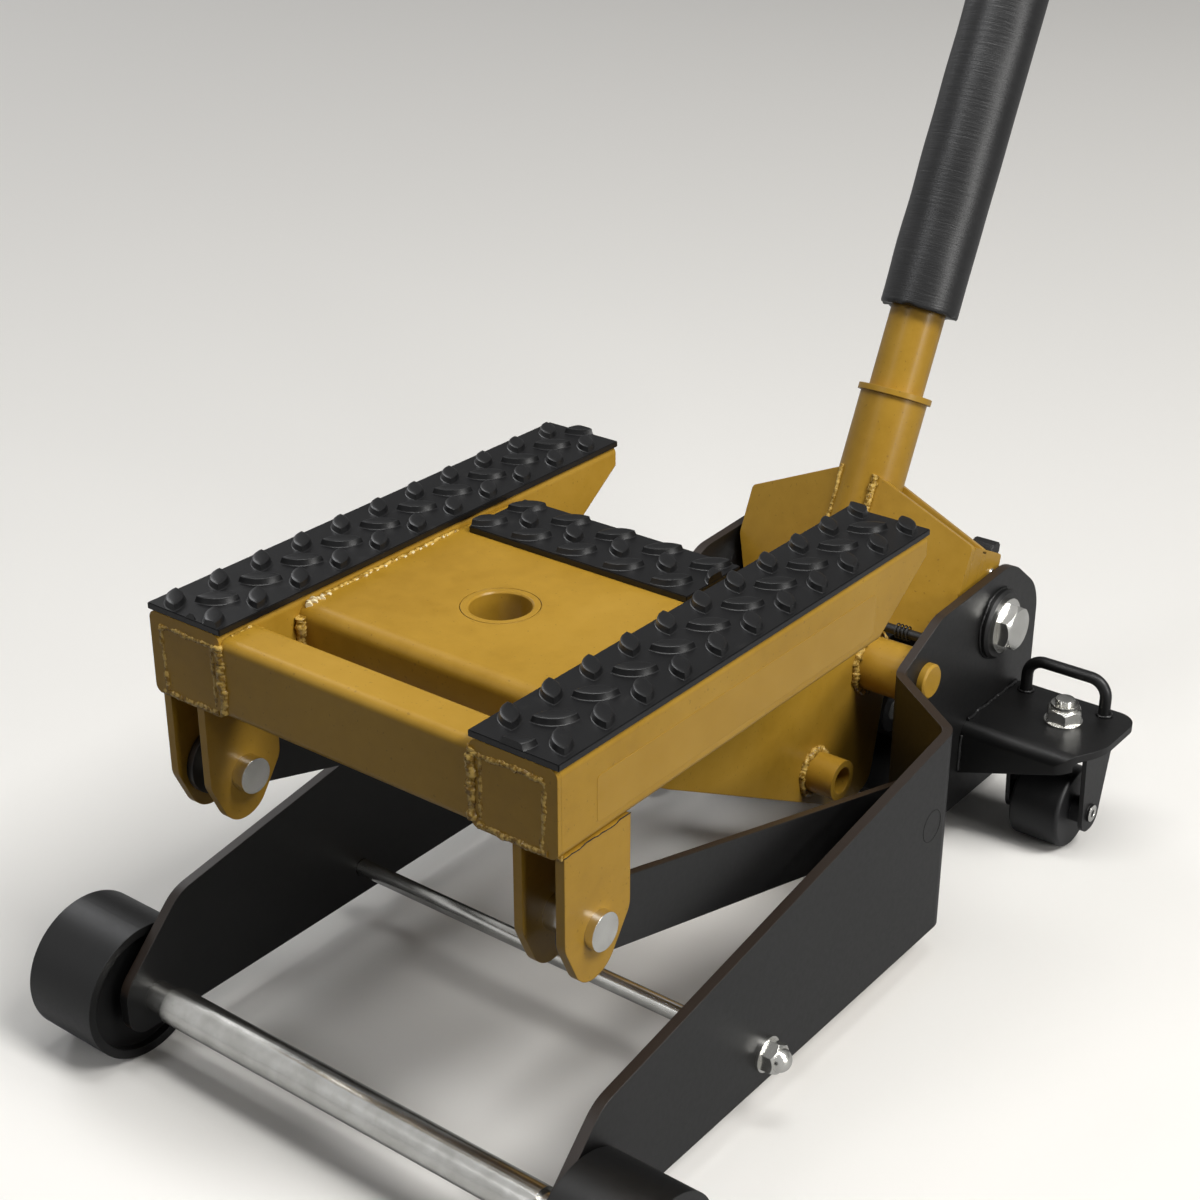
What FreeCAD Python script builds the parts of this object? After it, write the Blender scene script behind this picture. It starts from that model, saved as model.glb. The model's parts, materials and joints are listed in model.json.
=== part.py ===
import FreeCAD, Part
import math
import os

from FreeCAD import Vector

# Car jack with a wide lifting platform. Millimetres, +Z up, z = 0 on the ground.
# The jack's front (steel rollers) faces -Y and its handle leans towards +Y; x = 0 is its
# centre plane. The functions work with y counted from the front axle, and the last step
# moves every piece so that y = 0 is half way along the whole jack.

# ---- chassis ----
front_half_width = 174.0      # outer face of the side plates at the front
rear_half_width = 106.0       # outer face of the side plates at the rear
plate_thickness = 7.0
plate_bottom = 26.0           # ground clearance of the side plates
bend_radius = 9.0             # inside radius of the plates' bends
front_bend_y = 408.0          # where the side plates turn inwards
rear_bend_y = 458.0           # where they run straight back again
tail_y = 661.0                # rear end of the side plates
nose_y = -24.0
nose_over_axle = 15.0         # top of the nose above the front axle
shoulder_y = 26.0             # top edge behind the nose
shoulder_top = 112.0
waist_top = 178.0             # top edge at the bends
hump_y = 508.0                # where the top edge has risen to the rear head
hump_top = 201.0
head_top = 206.0              # top edge over the handle's pivot
head_radius = 40.0
head_front = 46.0             # top corner of the head, ahead of the tail
head_drop = 6.0               # rear corner of the head, above the handle's pivot
nose_corner = 22.0
bottom_corner = 15.0
shoulder_corner = 30.0
waist_corner = 12.0
floor_thickness = 6.0
floor_lift = 4.0              # floor plate above the side plates' lower edge
floor_front_y = 518.0
floor_inset = 6.0             # floor plate ahead of the tail

# ---- front axle, rollers and tie rod ----
roller_radius = 47.0
roller_width = 58.0
roller_gap = 3.0              # side plate to roller
roller_rim = 6.0
roller_recess = 6.0
hub_radius = 17.0
axle_radius = 10.0
axle_end_length = 3.5         # axle beyond the roller's hub
spacer_radius = 12.5
spacer_inset = 16.0           # side plate to the spacer tube's end
ring_thickness = 2.0
ring_width = 5.0
tie_rod_y = 189.0
tie_rod_z = 48.0
tie_rod_radius = 6.0
tie_nut_across = 19.0
tie_nut_height = 9.0
tie_dome_radius = 8.0
washer_thickness = 2.5

# ---- lifting linkage: an arm and two parallel links of one length ----
link_length = 350.4
rest_angle = 15.5             # degrees above level, arm and links
arm_pivot_y = 489.0
arm_pivot_z = 160.0
arm_shaft_radius = 13.0
arm_shaft_chamfer = 1.5
arm_hub_radius = 20.0
arm_plate_thickness = 8.0
arm_half_width = 60.0         # outer face of the arm's plates
arm_shaft_end = 6.0           # shaft showing outside the rear plates
arm_front_radius = 22.0
arm_shoulder = 32.0           # arm plate above and behind its pivot
arm_belly_z = 48.0            # lowest point of the arm's plates
arm_belly_ahead = 22.0        # that point, ahead of the arm's pivot
arm_throat_back = 90.0        # lower edge behind the front pin
arm_throat_drop = 84.0
arm_web_length = 70.0
arm_web_thickness = 10.0
arm_web_back = 60.0           # front edge of the web behind the front pin
arm_web_drop = 22.0
front_pin_radius = 10.0
front_pin_end = 4.0           # pin beyond the saddle's lugs
link_pivot_y = 385.0
link_pivot_z = 115.0
link_pin_radius = 11.5
link_pin_head = 4.0
link_boss_wall = 6.0
link_thickness = 5.0
link_height = 44.0

# ---- hydraulic unit ----
ram_pin_y = 418.0
ram_pin_z = 102.0
ram_pin_radius = 8.0
boss_radius = 15.0
boss_bore = 10.0
boss_length = 24.0
trunnion_y = 580.0
trunnion_z = 72.0
trunnion_radius = 8.0
cylinder_radius = 19.0
cylinder_length = 108.0
cylinder_foot_radius = 15.0
cylinder_base = 5.0           # closed end behind the bore
gland_length = 14.0
gland_step = 2.0
ram_radius = 11.0
ram_tail = 40.0               # trunnion to the ram's inner end, at rest
eye_radius = 18.0
eye_ahead = 2.1               # at rest the pin stands this far beyond the eye's middle
eye_above = 0.38              # and the ram points this much higher than the pin, degrees
eye_play_along = 3.2          # room for the pin along the ram, at the open pivot
eye_play_across = 2.0
block_half_width = 38.0
block_front = 598.0
block_rear = 648.0
block_top = 126.0
block_corner = 6.0
ear_thickness = 11.0
ear_half_height = 18.0
ear_gap = 3.0                 # cylinder to the block's ears
tower_half_width = 18.0
tower_back = 24.0             # rear face of the tower, ahead of the handle's pivot
tower_length = 44.0
tower_wall = 7.5              # around the plunger's bore
tower_end = 4.0               # closed front end of the bore
tower_bridge = 22.0           # length of the bridge under the tower
bridge_height = 14.0
plunger_radius = 8.0
plunger_length = 40.0
roller_arm = 26.0             # handle pivot to pump roller
roller_angle = 16.5           # degrees behind straight down, at rest
roller_swing = 28.5           # largest angle either side of straight down
pump_roller_radius = 9.0
pump_roller_width = 16.0
pump_shaft_radius = 5.0
valve_x = -22.0
valve_z = 62.0
valve_radius = 9.0
valve_depth = 14.0
valve_end_radius = 12.0
valve_end_length = 10.0
valve_slot_depth = 4.0
plug_x = 27.0
plug_from_rear = 14.0
plug_radius = 6.0
plug_depth = 10.0
plug_across = 17.0
plug_head = 6.0

# ---- platform ----
lug_setback = 33.0            # front end of the platform to the lug pins
rail_over_pin = 58.6          # lug pins to the rails' underside
pad_length = 374.0
rail_gap = 20.4               # outer face of a rail inside the outer face of the side plate
rail_width = 59.0
rail_height = 54.0
rail_wall = 3.0
rail_corner = 5.0
rail_slant = 59.0             # how much longer the rail is on top than underneath
rail_chin = 14.0              # height of the upright part of its rear end
pad_rear_edge = 1.0           # pad beyond the rail's rear end
cross_tube_depth = 32.0
cross_tube_setback = 0.7
cross_tube_corner = 6.0
cross_tube_drop = 3.0         # its top lies this far under the rails'
saddle_drop = 4.6             # the saddle plate's top under the rails'
saddle_inset = 63.1           # front end of the platform to the saddle plate
saddle_depth = 200.4
saddle_thickness = 6.0
saddle_bend = 3.0             # inside radius of its folds
saddle_front_flange = 30.0
saddle_rear_flange = 12.0
adapter_radius = 19.0
adapter_chamfer = 1.0
collar_wall = 5.0
collar_height = 16.0          # collar under the saddle plate
seam_width = 0.5              # ring seam round the collar, in the plate's top
seam_depth = 1.2
pad_thickness = 4.2
pad_overhang = 1.0
cross_pad_edge = 0.5
cross_pad_depth = 56.0
cross_pad_seat = 0.4          # the plate is this much lower from the cross pad back
cross_pad_gap = 9.0           # rail to the cross pad's end
lug_thickness = 6.0
lug_gap = 23.0                # between the two lugs under a rail
lug_front = 28.0              # lug ahead of the pin
lug_back = 29.0               # lug behind the pin
lug_pin_radius = 11.5
lug_pin_head = 5.5            # pin standing out of the outer lug
lug_pin_tail = 9.0
lug_tip = 31.0                # below the pin
lug_tip_front = 14.0          # its lower edge ahead of and behind the pin
lug_tip_back = 8.0
lug_corner = 14.0
lug_tip_corner = 20.0
saddle_lug_thickness = 8.0
saddle_lug_depth = 52.0
saddle_lug_tip = 19.0
saddle_lug_corner = 18.0

# ---- handle: yoke, socket and tube ----
yoke_pivot_y = 595.0
yoke_pivot_z = 164.0
yoke_bolt_radius = 10.0
yoke_bolt_across = 32.0
yoke_bolt_head = 10.0
yoke_bolt_end = 3.0           # bolt inside the yoke's side plates
collar_radius = 27.0
collar_thickness = 6.0
collar_chamfer = 2.0
pivot_washer_radius = 21.1
lean = 25.5                   # degrees back from upright, at rest
socket_foot_y = 567.0         # point of the handle's axis level with the yoke's shoulders
socket_foot_z = 233.0
yoke_side_gap = 3.0           # side plate of the chassis to the yoke's
yoke_side_thickness = 8.0
yoke_plate_thickness = 6.0
yoke_peak = 38.0              # middle of the plates above their shoulders
yoke_waist = 38.0             # straight part of the plates' sides
yoke_depth = 72.0             # shoulders to bottom edge
yoke_rear_depth = 48.0        # the same on the rear plate
yoke_taper = 18.0             # how much narrower the bottom edge is, each side
yoke_face = 2.0               # front plate's shoulders ahead of the handle's axis
yoke_prow = 22.0              # how far the front plate juts at the tube
yoke_rear_prow = 9.0
yoke_gap = 26.0               # front face to rear face at the shoulders
yoke_corner = 8.0
yoke_pivot_reach = 25.0       # side plate around the pivot
yoke_tab_drop = 24.0          # rear corner of the side plate's tab under its shoulder
socket_wall = 4.75
socket_bottom = -40.0
socket_top = 96.0
rim_width = 2.6
rim_height = 4.5
set_screw_radius = 6.0
set_screw_length = 9.0
set_screw_height = 46.0
tube_radius = 20.6
tube_wall = 2.6
tube_bottom = -30.0
tube_top = 1000.0
foam_wall = 9.4
foam_bottom = 158.0
foam_length = 300.0
grip_length = 130.0
grip_wall = 3.4
grip_end = 4.0
grip_edge = 2.0

# ---- casters and their brackets ----
caster_radius = 31.75
caster_width = 40.0
caster_trail = 6.0
caster_edge = 3.0
caster_hub_radius = 10.0
caster_headroom = 33.5        # wheel to the bracket's top
bracket_thickness = 6.0
bracket_front = 551.0
bracket_rear = 640.0
bracket_length = 102.0        # side plate to the bracket's tip
bracket_shoulder = 30.0
bracket_corner = 16.0
bracket_tip_corner = 45.0
flange_root = 55.0            # lower edge of the folded flange at the side plate
flange_tip = 88.5             # and at its outer end
stud_reach = 58.0             # side plate to the swivel
stud_y = 601.7
stud_radius = 7.0
stud_head = 4.0
stud_drop = 9.0               # race to the stud's head
stud_end = 7.0                # stud above the lock nut
lock_nut_across = 24.0
lock_nut_height = 12.0
lock_nut_collar = 3.5
lock_nut_flange = 1.6
race_radius = 29.0
race_height = 4.0
loop_bar_radius = 4.5
loop_height = 32.0
loop_inner = 13.0             # side plate to the loop's legs
loop_outer = 78.0
loop_y = 629.0
loop_corner = 15.0
fork_half_width = 32.0
fork_thickness = 3.5
fork_top_width = 46.0
fork_corner = 4.0
fork_foot = 12.0              # half width of the leg round the axle
fork_foot_drop = 15.0
rivet_radius = 5.0
rivet_head = 2.0

# ---- fits ----
running_gap = 0.05            # radial, shaft in a turning bore
bolt_gap = 0.25               # radial, bolt or rod in a plain hole
slide_gap = 0.6               # between faces that pass each other
end_gap = 1.0                 # side play of turning pieces

# ---- for cutting ----
beyond = 1.0                  # how far a cut runs past a face
far = 400.0                   # longer than anything it has to cross


def sideView(x):
    return lambda y, z: Vector(x, y, z)


def topView(z):
    return lambda x, y: Vector(x, y, z)


def frontView(y):
    return lambda x, z: Vector(x, y, z)


def roundedWire(corners, place):
    # closed outline from (u, v, radius) corners; a radius is limited by the edges beside it
    count = len(corners)
    stops = []
    for i, (u, v, radius) in enumerate(corners):
        here = Vector(u, v, 0)
        before = Vector(corners[i - 1][0], corners[i - 1][1], 0) - here
        after = Vector(corners[(i + 1) % count][0], corners[(i + 1) % count][1], 0) - here
        if radius <= 0:
            stops.append((here, None, here))
            continue
        room = 0.49 * min(before.Length, after.Length)
        before.normalize()
        after.normalize()
        half = before.getAngle(after) / 2
        reach = min(radius / math.tan(half), room)
        bend = reach * math.tan(half)
        middle = before + after
        middle.normalize()
        tip = here + middle * (bend / math.sin(half) - bend)
        stops.append((here + before * reach, tip, here + after * reach))
    edges = []
    for i, (start, tip, end) in enumerate(stops):
        if tip is not None:
            arc = Part.Arc(place(start.x, start.y), place(tip.x, tip.y), place(end.x, end.y))
            edges.append(arc.toShape())
        following = stops[(i + 1) % count][0]
        if (following - end).Length > 1e-6:
            line = Part.LineSegment(place(end.x, end.y), place(following.x, following.y))
            edges.append(line.toShape())
    return Part.Wire(edges)


def sideSlab(corners, x_low, x_high):
    face = Part.Face(roundedWire(corners, sideView(x_low)))
    return face.extrude(Vector(x_high - x_low, 0, 0))


def topSlab(corners, z_low, z_high):
    face = Part.Face(roundedWire(corners, topView(z_low)))
    return face.extrude(Vector(0, 0, z_high - z_low))


def frontSlab(corners, y_low, y_high):
    face = Part.Face(roundedWire(corners, frontView(y_low)))
    return face.extrude(Vector(0, y_high - y_low, 0))


def rodX(radius, x_low, x_high, y, z):
    return Part.makeCylinder(radius, x_high - x_low, Vector(x_low, y, z), Vector(1, 0, 0))


def rodY(radius, y_low, y_high, x, z):
    return Part.makeCylinder(radius, y_high - y_low, Vector(x, y_low, z), Vector(0, 1, 0))


def rodZ(radius, z_low, z_high, x, y):
    return Part.makeCylinder(radius, z_high - z_low, Vector(x, y, z_low))


def block(x_low, x_high, y_low, y_high, z_low, z_high):
    return Part.makeBox(x_high - x_low, y_high - y_low, z_high - z_low, Vector(x_low, y_low, z_low))


def mirrored(shape):
    return shape.mirror(Vector(0, 0, 0), Vector(1, 0, 0))


def pair(shape):
    return Part.makeCompound([shape, mirrored(shape)])


def hexPrism(across, height, base, direction):
    # six-sided bar with its chamfered end away from the base
    corner = across / math.sqrt(3)
    turns = [k * math.pi / 3 for k in range(7)]
    points = [Vector(corner * math.cos(turn), corner * math.sin(turn), 0) for turn in turns]
    bar = Part.Face(Part.makePolygon(points)).extrude(Vector(0, 0, height))
    tip = across * 0.485
    bar = bar.common(Part.makeCone(tip + height, tip, height, Vector(0, 0, 0)))
    bar.Placement = FreeCAD.Placement(base, FreeCAD.Rotation(Vector(0, 0, 1), direction))
    return bar


def inYoke(shape):
    # from the yoke's own frame (x, d, u: u up the handle, d to its back) to the jack's
    shape.rotate(Vector(0, 0, 0), Vector(1, 0, 0), -lean)
    shape.translate(Vector(0, socket_foot_y, socket_foot_z))
    return shape


def pivotInYoke():
    # the handle's pivot in the yoke's own frame, as (d, u)
    back = yoke_pivot_y - socket_foot_y
    up = yoke_pivot_z - socket_foot_z
    angle = math.radians(lean)
    return back * math.cos(angle) - up * math.sin(angle), back * math.sin(angle) + up * math.cos(angle)


def alongLink(pivot_y, pivot_z):
    angle = math.radians(rest_angle)
    return pivot_y - link_length * math.cos(angle), pivot_z + link_length * math.sin(angle)


def inRamLine(shape):
    # from a frame with the trunnion at its origin and the ram along +Y to the jack's
    shape.rotate(Vector(0, 0, 0), Vector(0, 0, 1), 180)
    shape.rotate(Vector(0, 0, 0), Vector(1, 0, 0), -cylinder_tilt)
    shape.translate(Vector(0, trunnion_y, trunnion_z))
    return shape


arm_pin_y, arm_pin_z = alongLink(arm_pivot_y, arm_pivot_z)
lug_pin_y, lug_pin_z = alongLink(link_pivot_y, link_pivot_z)
rear_inner_x = rear_half_width - plate_thickness
roller_inner_x = front_half_width + roller_gap
roller_outer_x = roller_inner_x + roller_width
rail_outer_x = front_half_width - rail_gap
rail_inner_x = rail_outer_x - rail_width
rail_bottom = lug_pin_z + rail_over_pin
rail_top = rail_bottom + rail_height
platform_front = lug_pin_y - lug_setback
platform_rear = platform_front + pad_length
saddle_top = rail_top - saddle_drop
saddle_front = platform_front + saddle_inset
saddle_rear = saddle_front + saddle_depth
adapter_y = arm_pin_y
link_outer_x = rail_outer_x - lug_thickness - slide_gap
link_inner_x = link_outer_x - link_thickness
arm_inner_x = arm_half_width - arm_plate_thickness
ram_reach = math.hypot(trunnion_y - ram_pin_y, ram_pin_z - trunnion_z) - eye_ahead
cylinder_tilt = math.degrees(math.atan2(ram_pin_z - trunnion_z, trunnion_y - ram_pin_y)) + eye_above
block_bottom = plate_bottom + floor_lift + floor_thickness
yoke_half_width = rear_inner_x - yoke_side_gap
yoke_inner_x = yoke_half_width - yoke_side_thickness
socket_radius = tube_radius + running_gap + socket_wall
foam_radius = tube_radius + foam_wall
grip_radius = tube_radius + grip_wall
stud_x = rear_half_width + stud_reach
bracket_top = 2 * caster_radius + caster_headroom
bracket_low = bracket_top - bracket_thickness
caster_axle_y = stud_y - caster_trail
handle_reach = socket_foot_y + tube_top * math.sin(math.radians(lean))
handle_reach += grip_radius * math.cos(math.radians(lean))
front_axle_y = -(handle_reach - roller_radius) / 2


# ---- chassis pieces ----
def sidePlate():
    front_in = front_half_width - plate_thickness
    slope = math.atan2(front_half_width - rear_half_width, rear_bend_y - front_bend_y)
    shift = plate_thickness * math.tan(slope / 2)
    wide = bend_radius + plate_thickness
    strip = topSlab([
        (front_half_width, nose_y, 0), (front_half_width, front_bend_y, wide),
        (rear_half_width, rear_bend_y, bend_radius), (rear_half_width, tail_y, 0),
        (rear_inner_x, tail_y, 0), (rear_inner_x, rear_bend_y - shift, wide),
        (front_in, front_bend_y - shift, bend_radius), (front_in, nose_y, 0),
    ], 0, head_top + beyond)
    profile = sideSlab([
        (nose_y, plate_bottom, bottom_corner),
        (nose_y, roller_radius + nose_over_axle, nose_corner),
        (shoulder_y, shoulder_top, shoulder_corner), (front_bend_y, waist_top, waist_corner),
        (rear_bend_y, waist_top, waist_corner), (hump_y, hump_top, shoulder_corner),
        (tail_y - head_front, head_top, head_radius), (tail_y, yoke_pivot_z + head_drop, head_radius),
        (tail_y, plate_bottom, bottom_corner),
    ], 0, front_half_width + beyond)
    plate = strip.common(profile)
    plate = plate.cut(rodX(axle_radius, 0, far, 0, roller_radius))
    plate = plate.cut(rodX(tie_rod_radius + bolt_gap, 0, far, tie_rod_y, tie_rod_z))
    plate = plate.cut(rodX(link_pin_radius, 0, far, link_pivot_y, link_pivot_z))
    plate = plate.cut(rodX(arm_shaft_radius, 0, far, arm_pivot_y, arm_pivot_z))
    return plate.cut(rodX(yoke_bolt_radius, 0, far, yoke_pivot_y, yoke_pivot_z))


def frontAxle():
    length = roller_outer_x - roller_recess + axle_end_length
    return rodX(axle_radius, -length, length, 0, roller_radius)


def axleSpacer():
    half = front_half_width - plate_thickness - spacer_inset
    tube = rodX(spacer_radius, -half, half, 0, roller_radius)
    return tube.cut(rodX(axle_radius, -half, half, 0, roller_radius))


def snapRings():
    start = roller_outer_x - roller_recess + slide_gap
    ring = rodX(axle_radius + ring_width, start, start + ring_thickness, 0, roller_radius)
    return pair(ring.cut(rodX(axle_radius, 0, far, 0, roller_radius)))


def frontRoller():
    body = rodX(roller_radius, roller_inner_x, roller_outer_x, 0, roller_radius)
    rim_inside = roller_radius - roller_rim
    for start in (roller_inner_x, roller_outer_x - roller_recess):
        body = body.cut(rodX(rim_inside, start, start + roller_recess, 0, roller_radius))
    hub_start = front_half_width + end_gap
    body = body.fuse(rodX(hub_radius, hub_start, roller_outer_x - roller_recess, 0, roller_radius))
    return body.cut(rodX(axle_radius + running_gap, 0, far, 0, roller_radius)).removeSplitter()


def tieRod():
    reach = front_half_width + washer_thickness + tie_nut_height
    return rodX(tie_rod_radius, -reach, reach, tie_rod_y, tie_rod_z)


def tieRodNuts():
    # a washer and a dome nut on each end of the tie rod
    start = front_half_width + washer_thickness
    end = start + tie_nut_height
    washer = rodX(tie_rod_radius * 2, front_half_width, start, tie_rod_y, tie_rod_z)
    washer = washer.cut(rodX(tie_rod_radius, 0, far, tie_rod_y, tie_rod_z))
    nut = hexPrism(tie_nut_across, tie_nut_height, Vector(start, tie_rod_y, tie_rod_z), Vector(1, 0, 0))
    dome = Part.makeSphere(tie_dome_radius, Vector(end - beyond, tie_rod_y, tie_rod_z))
    nut = nut.fuse(dome).cut(rodX(tie_rod_radius, 0, end, tie_rod_y, tie_rod_z)).removeSplitter()
    return Part.makeCompound([washer, mirrored(washer), nut, mirrored(nut)])


def linkPins():
    # headed pins, welded flush in the side plates, that keep the links on
    head = link_inner_x - slide_gap
    pin = rodX(link_pin_radius, head, front_half_width, link_pivot_y, link_pivot_z)
    cap = rodX(link_pin_radius + link_pin_head, head - link_pin_head, head, link_pivot_y, link_pivot_z)
    return pair(pin.fuse(cap).removeSplitter())


def armShaft():
    reach = rear_half_width + arm_shaft_end
    shaft = rodX(arm_shaft_radius, -reach, reach, arm_pivot_y, arm_pivot_z)
    ends = [edge for edge in shaft.Edges if abs(edge.CenterOfMass.x) > rear_half_width]
    return shaft.makeChamfer(arm_shaft_chamfer, ends)


def floorPlate():
    low = plate_bottom + floor_lift
    rear = tail_y - floor_inset
    return block(-rear_inner_x, rear_inner_x, floor_front_y, rear, low, low + floor_thickness)


def plungerBore(start, end):
    return rodY(plunger_radius + running_gap, start, end, 0, plungerHeight())


def pumpBlock():
    # reservoir block with two ears for the cylinder and a tower ahead of it for the plunger
    body = block(-block_half_width, block_half_width, block_front, block_rear, block_bottom, block_top)
    upright = [edge for edge in body.Edges if edge.BoundBox.ZLength > block_top - block_bottom - beyond]
    body = body.makeFillet(block_corner, upright)
    ear_low = cylinder_radius + ear_gap
    ear = sideSlab([
        (trunnion_y - ear_half_height, trunnion_z - ear_half_height, ear_half_height),
        (trunnion_y - ear_half_height, trunnion_z + ear_half_height, ear_half_height),
        (block_front + block_corner, trunnion_z + ear_half_height, 0),
        (block_front + block_corner, trunnion_z - ear_half_height, 0),
    ], ear_low, ear_low + ear_thickness)
    tower_rear = yoke_pivot_y - tower_back
    tower_front = tower_rear - tower_length
    reach = plunger_radius + tower_wall
    height = plungerHeight()
    half = tower_half_width
    tower = block(-half, half, tower_front, tower_rear, height - reach, height + reach)
    bridge = block(-half, half, tower_rear - tower_bridge, block_front + block_corner,
                   block_top - bridge_height, block_top)
    body = body.fuse([ear, mirrored(ear), tower, bridge])
    body = body.cut(plungerBore(tower_front + tower_end, tower_rear))
    body = body.cut(rodX(trunnion_radius, -far, far, trunnion_y, trunnion_z))
    valve = rodY(valve_radius + running_gap, block_rear - valve_depth, block_rear, valve_x, valve_z)
    return body.cut(valve).cut(plugShank()).removeSplitter()


def plugShank():
    return rodZ(plug_radius, block_top - plug_depth, block_top, plug_x, block_rear - plug_from_rear)


def fillerPlug():
    foot = Vector(plug_x, block_rear - plug_from_rear, block_top)
    return plugShank().fuse(hexPrism(plug_across, plug_head, foot, Vector(0, 0, 1))).removeSplitter()


def trunnionPin():
    reach = cylinder_radius + ear_gap + ear_thickness
    return rodX(trunnion_radius, -reach, reach, trunnion_y, trunnion_z)


def casterBracket():
    # angle bracket: a flat top and a flange folded down at its front edge
    inside = bracket_front + bracket_thickness
    tip = rear_half_width + bracket_length
    angle = sideSlab([
        (bracket_front, flange_root, 0), (bracket_front, bracket_top, bracket_thickness + fork_corner),
        (bracket_rear, bracket_top, 0), (bracket_rear, bracket_low, 0),
        (inside, bracket_low, fork_corner), (inside, flange_root, 0),
    ], rear_half_width, tip)
    plan = topSlab([
        (rear_half_width, bracket_front, 0), (tip - bracket_corner, bracket_front, bracket_corner),
        (tip, bracket_front + bracket_shoulder, bracket_tip_corner),
        (tip, bracket_rear, bracket_corner), (rear_half_width, bracket_rear, 0),
    ], 0, bracket_top + beyond)
    skirt = frontSlab([
        (rear_half_width, flange_root, 0), (tip, flange_tip, 0),
        (tip, bracket_top + beyond, 0), (rear_half_width, bracket_top + beyond, 0),
    ], bracket_front, bracket_rear)
    bracket = angle.common(plan).common(skirt)
    return bracket.cut(rodZ(stud_radius + bolt_gap, 0, far, stud_x, stud_y))


def carryLoop():
    top = bracket_top + loop_height - loop_bar_radius
    near_x = rear_half_width + loop_inner
    far_x = rear_half_width + loop_outer
    path = roundedWire([
        (near_x, bracket_top, 0), (near_x, top, loop_corner),
        (far_x, top, loop_corner), (far_x, bracket_top, 0),
    ], frontView(loop_y))
    # the outline's closing edge runs along the bracket and isn't part of the bar
    edges = [edge for edge in path.OrderedEdges if edge.CenterOfMass.z > bracket_top + beyond]
    start = Part.Circle(Vector(near_x, loop_y, bracket_top), Vector(0, 0, 1), loop_bar_radius)
    return Part.Wire(Part.sortEdges(edges)[0]).makePipeShell([Part.Wire(start.toShape())], True, False)


def casterStud():
    race_low = bracket_low - race_height
    head = race_low - stud_drop
    race = rodZ(race_radius, race_low, bracket_low, stud_x, stud_y)
    shank = rodZ(stud_radius, head, bracket_top + lock_nut_height + stud_end, stud_x, stud_y)
    cap = rodZ(stud_radius + stud_head, head - stud_head, head, stud_x, stud_y)
    return race.fuse([shank, cap]).removeSplitter()


def lockNut():
    # hexagon nut with a flange and the raised collar of its nylon insert
    nut = hexPrism(lock_nut_across, lock_nut_height, Vector(stud_x, stud_y, bracket_top), Vector(0, 0, 1))
    end = bracket_top + lock_nut_height + lock_nut_collar
    collar = rodZ(lock_nut_across * 0.43, bracket_top, end, stud_x, stud_y)
    flange = rodZ(lock_nut_across * 0.6, bracket_top, bracket_top + lock_nut_flange, stud_x, stud_y)
    return nut.fuse([collar, flange]).cut(rodZ(stud_radius, 0, far, stud_x, stud_y)).removeSplitter()


def yokeBolt():
    head = rear_half_width + collar_thickness + washer_thickness
    shank = rodX(yoke_bolt_radius, yoke_inner_x - yoke_bolt_end, head + beyond, yoke_pivot_y, yoke_pivot_z)
    foot = Vector(head, yoke_pivot_y, yoke_pivot_z)
    return shank.fuse(hexPrism(yoke_bolt_across, yoke_bolt_head, foot, Vector(1, 0, 0))).removeSplitter()


def pivotCollar():
    end = rear_half_width + collar_thickness
    ring = rodX(collar_radius, rear_half_width, end, yoke_pivot_y, yoke_pivot_z)
    outer = [edge for edge in ring.Edges if edge.CenterOfMass.x > end - beyond]
    ring = ring.makeChamfer(collar_chamfer, outer)
    return ring.cut(rodX(yoke_bolt_radius, 0, far, yoke_pivot_y, yoke_pivot_z))


def pivotWasher():
    start = rear_half_width + collar_thickness
    ring = rodX(pivot_washer_radius, start, start + washer_thickness, yoke_pivot_y, yoke_pivot_z)
    return ring.cut(rodX(yoke_bolt_radius, 0, far, yoke_pivot_y, yoke_pivot_z))


# ---- lift arm ----
def armPlate():
    along = math.cos(math.radians(rest_angle))
    across = math.sin(math.radians(rest_angle))
    nose = arm_front_radius
    rear = arm_shoulder
    plate = sideSlab([
        (arm_pin_y - nose * (along + across), arm_pin_z - nose * (along - across), nose),
        (arm_pin_y - nose * (along - across), arm_pin_z + nose * (along + across), nose),
        (arm_pivot_y + rear * across, arm_pivot_z + rear * along, arm_hub_radius),
        (arm_pivot_y + rear, arm_pivot_z, arm_hub_radius),
        (arm_pivot_y + rear - arm_belly_ahead, arm_belly_z + arm_plate_thickness, bottom_corner),
        (arm_pivot_y - arm_belly_ahead, arm_belly_z, bottom_corner),
        (arm_pin_y + arm_throat_back, arm_pin_z - arm_throat_drop, shoulder_corner),
    ], arm_inner_x, arm_half_width)
    plate = plate.cut(rodX(arm_hub_radius, 0, far, arm_pivot_y, arm_pivot_z))
    plate = plate.cut(rodX(front_pin_radius, 0, far, arm_pin_y, arm_pin_z))
    return plate.cut(rodX(ram_pin_radius, 0, far, ram_pin_y, ram_pin_z))


def armHub():
    reach = rear_inner_x - end_gap
    hub = rodX(arm_hub_radius, -reach, reach, arm_pivot_y, arm_pivot_z)
    return hub.cut(rodX(arm_shaft_radius + running_gap, -reach, reach, arm_pivot_y, arm_pivot_z))


def armBoss():
    tube = rodX(boss_radius, arm_half_width, arm_half_width + boss_length, ram_pin_y, ram_pin_z)
    return tube.cut(rodX(boss_bore, arm_half_width, far, ram_pin_y, ram_pin_z))


def ramPin():
    return rodX(ram_pin_radius, -arm_half_width, arm_half_width, ram_pin_y, ram_pin_z)


def armWeb():
    # cross plate between the arm's two plates, ahead of the ram
    half = arm_web_thickness / 2
    web = block(-arm_inner_x, arm_inner_x, 0, arm_web_length, -half, half)
    web.rotate(Vector(0, 0, 0), Vector(1, 0, 0), -rest_angle)
    web.translate(Vector(0, arm_pin_y + arm_web_back, arm_pin_z - arm_web_drop))
    return web


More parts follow.
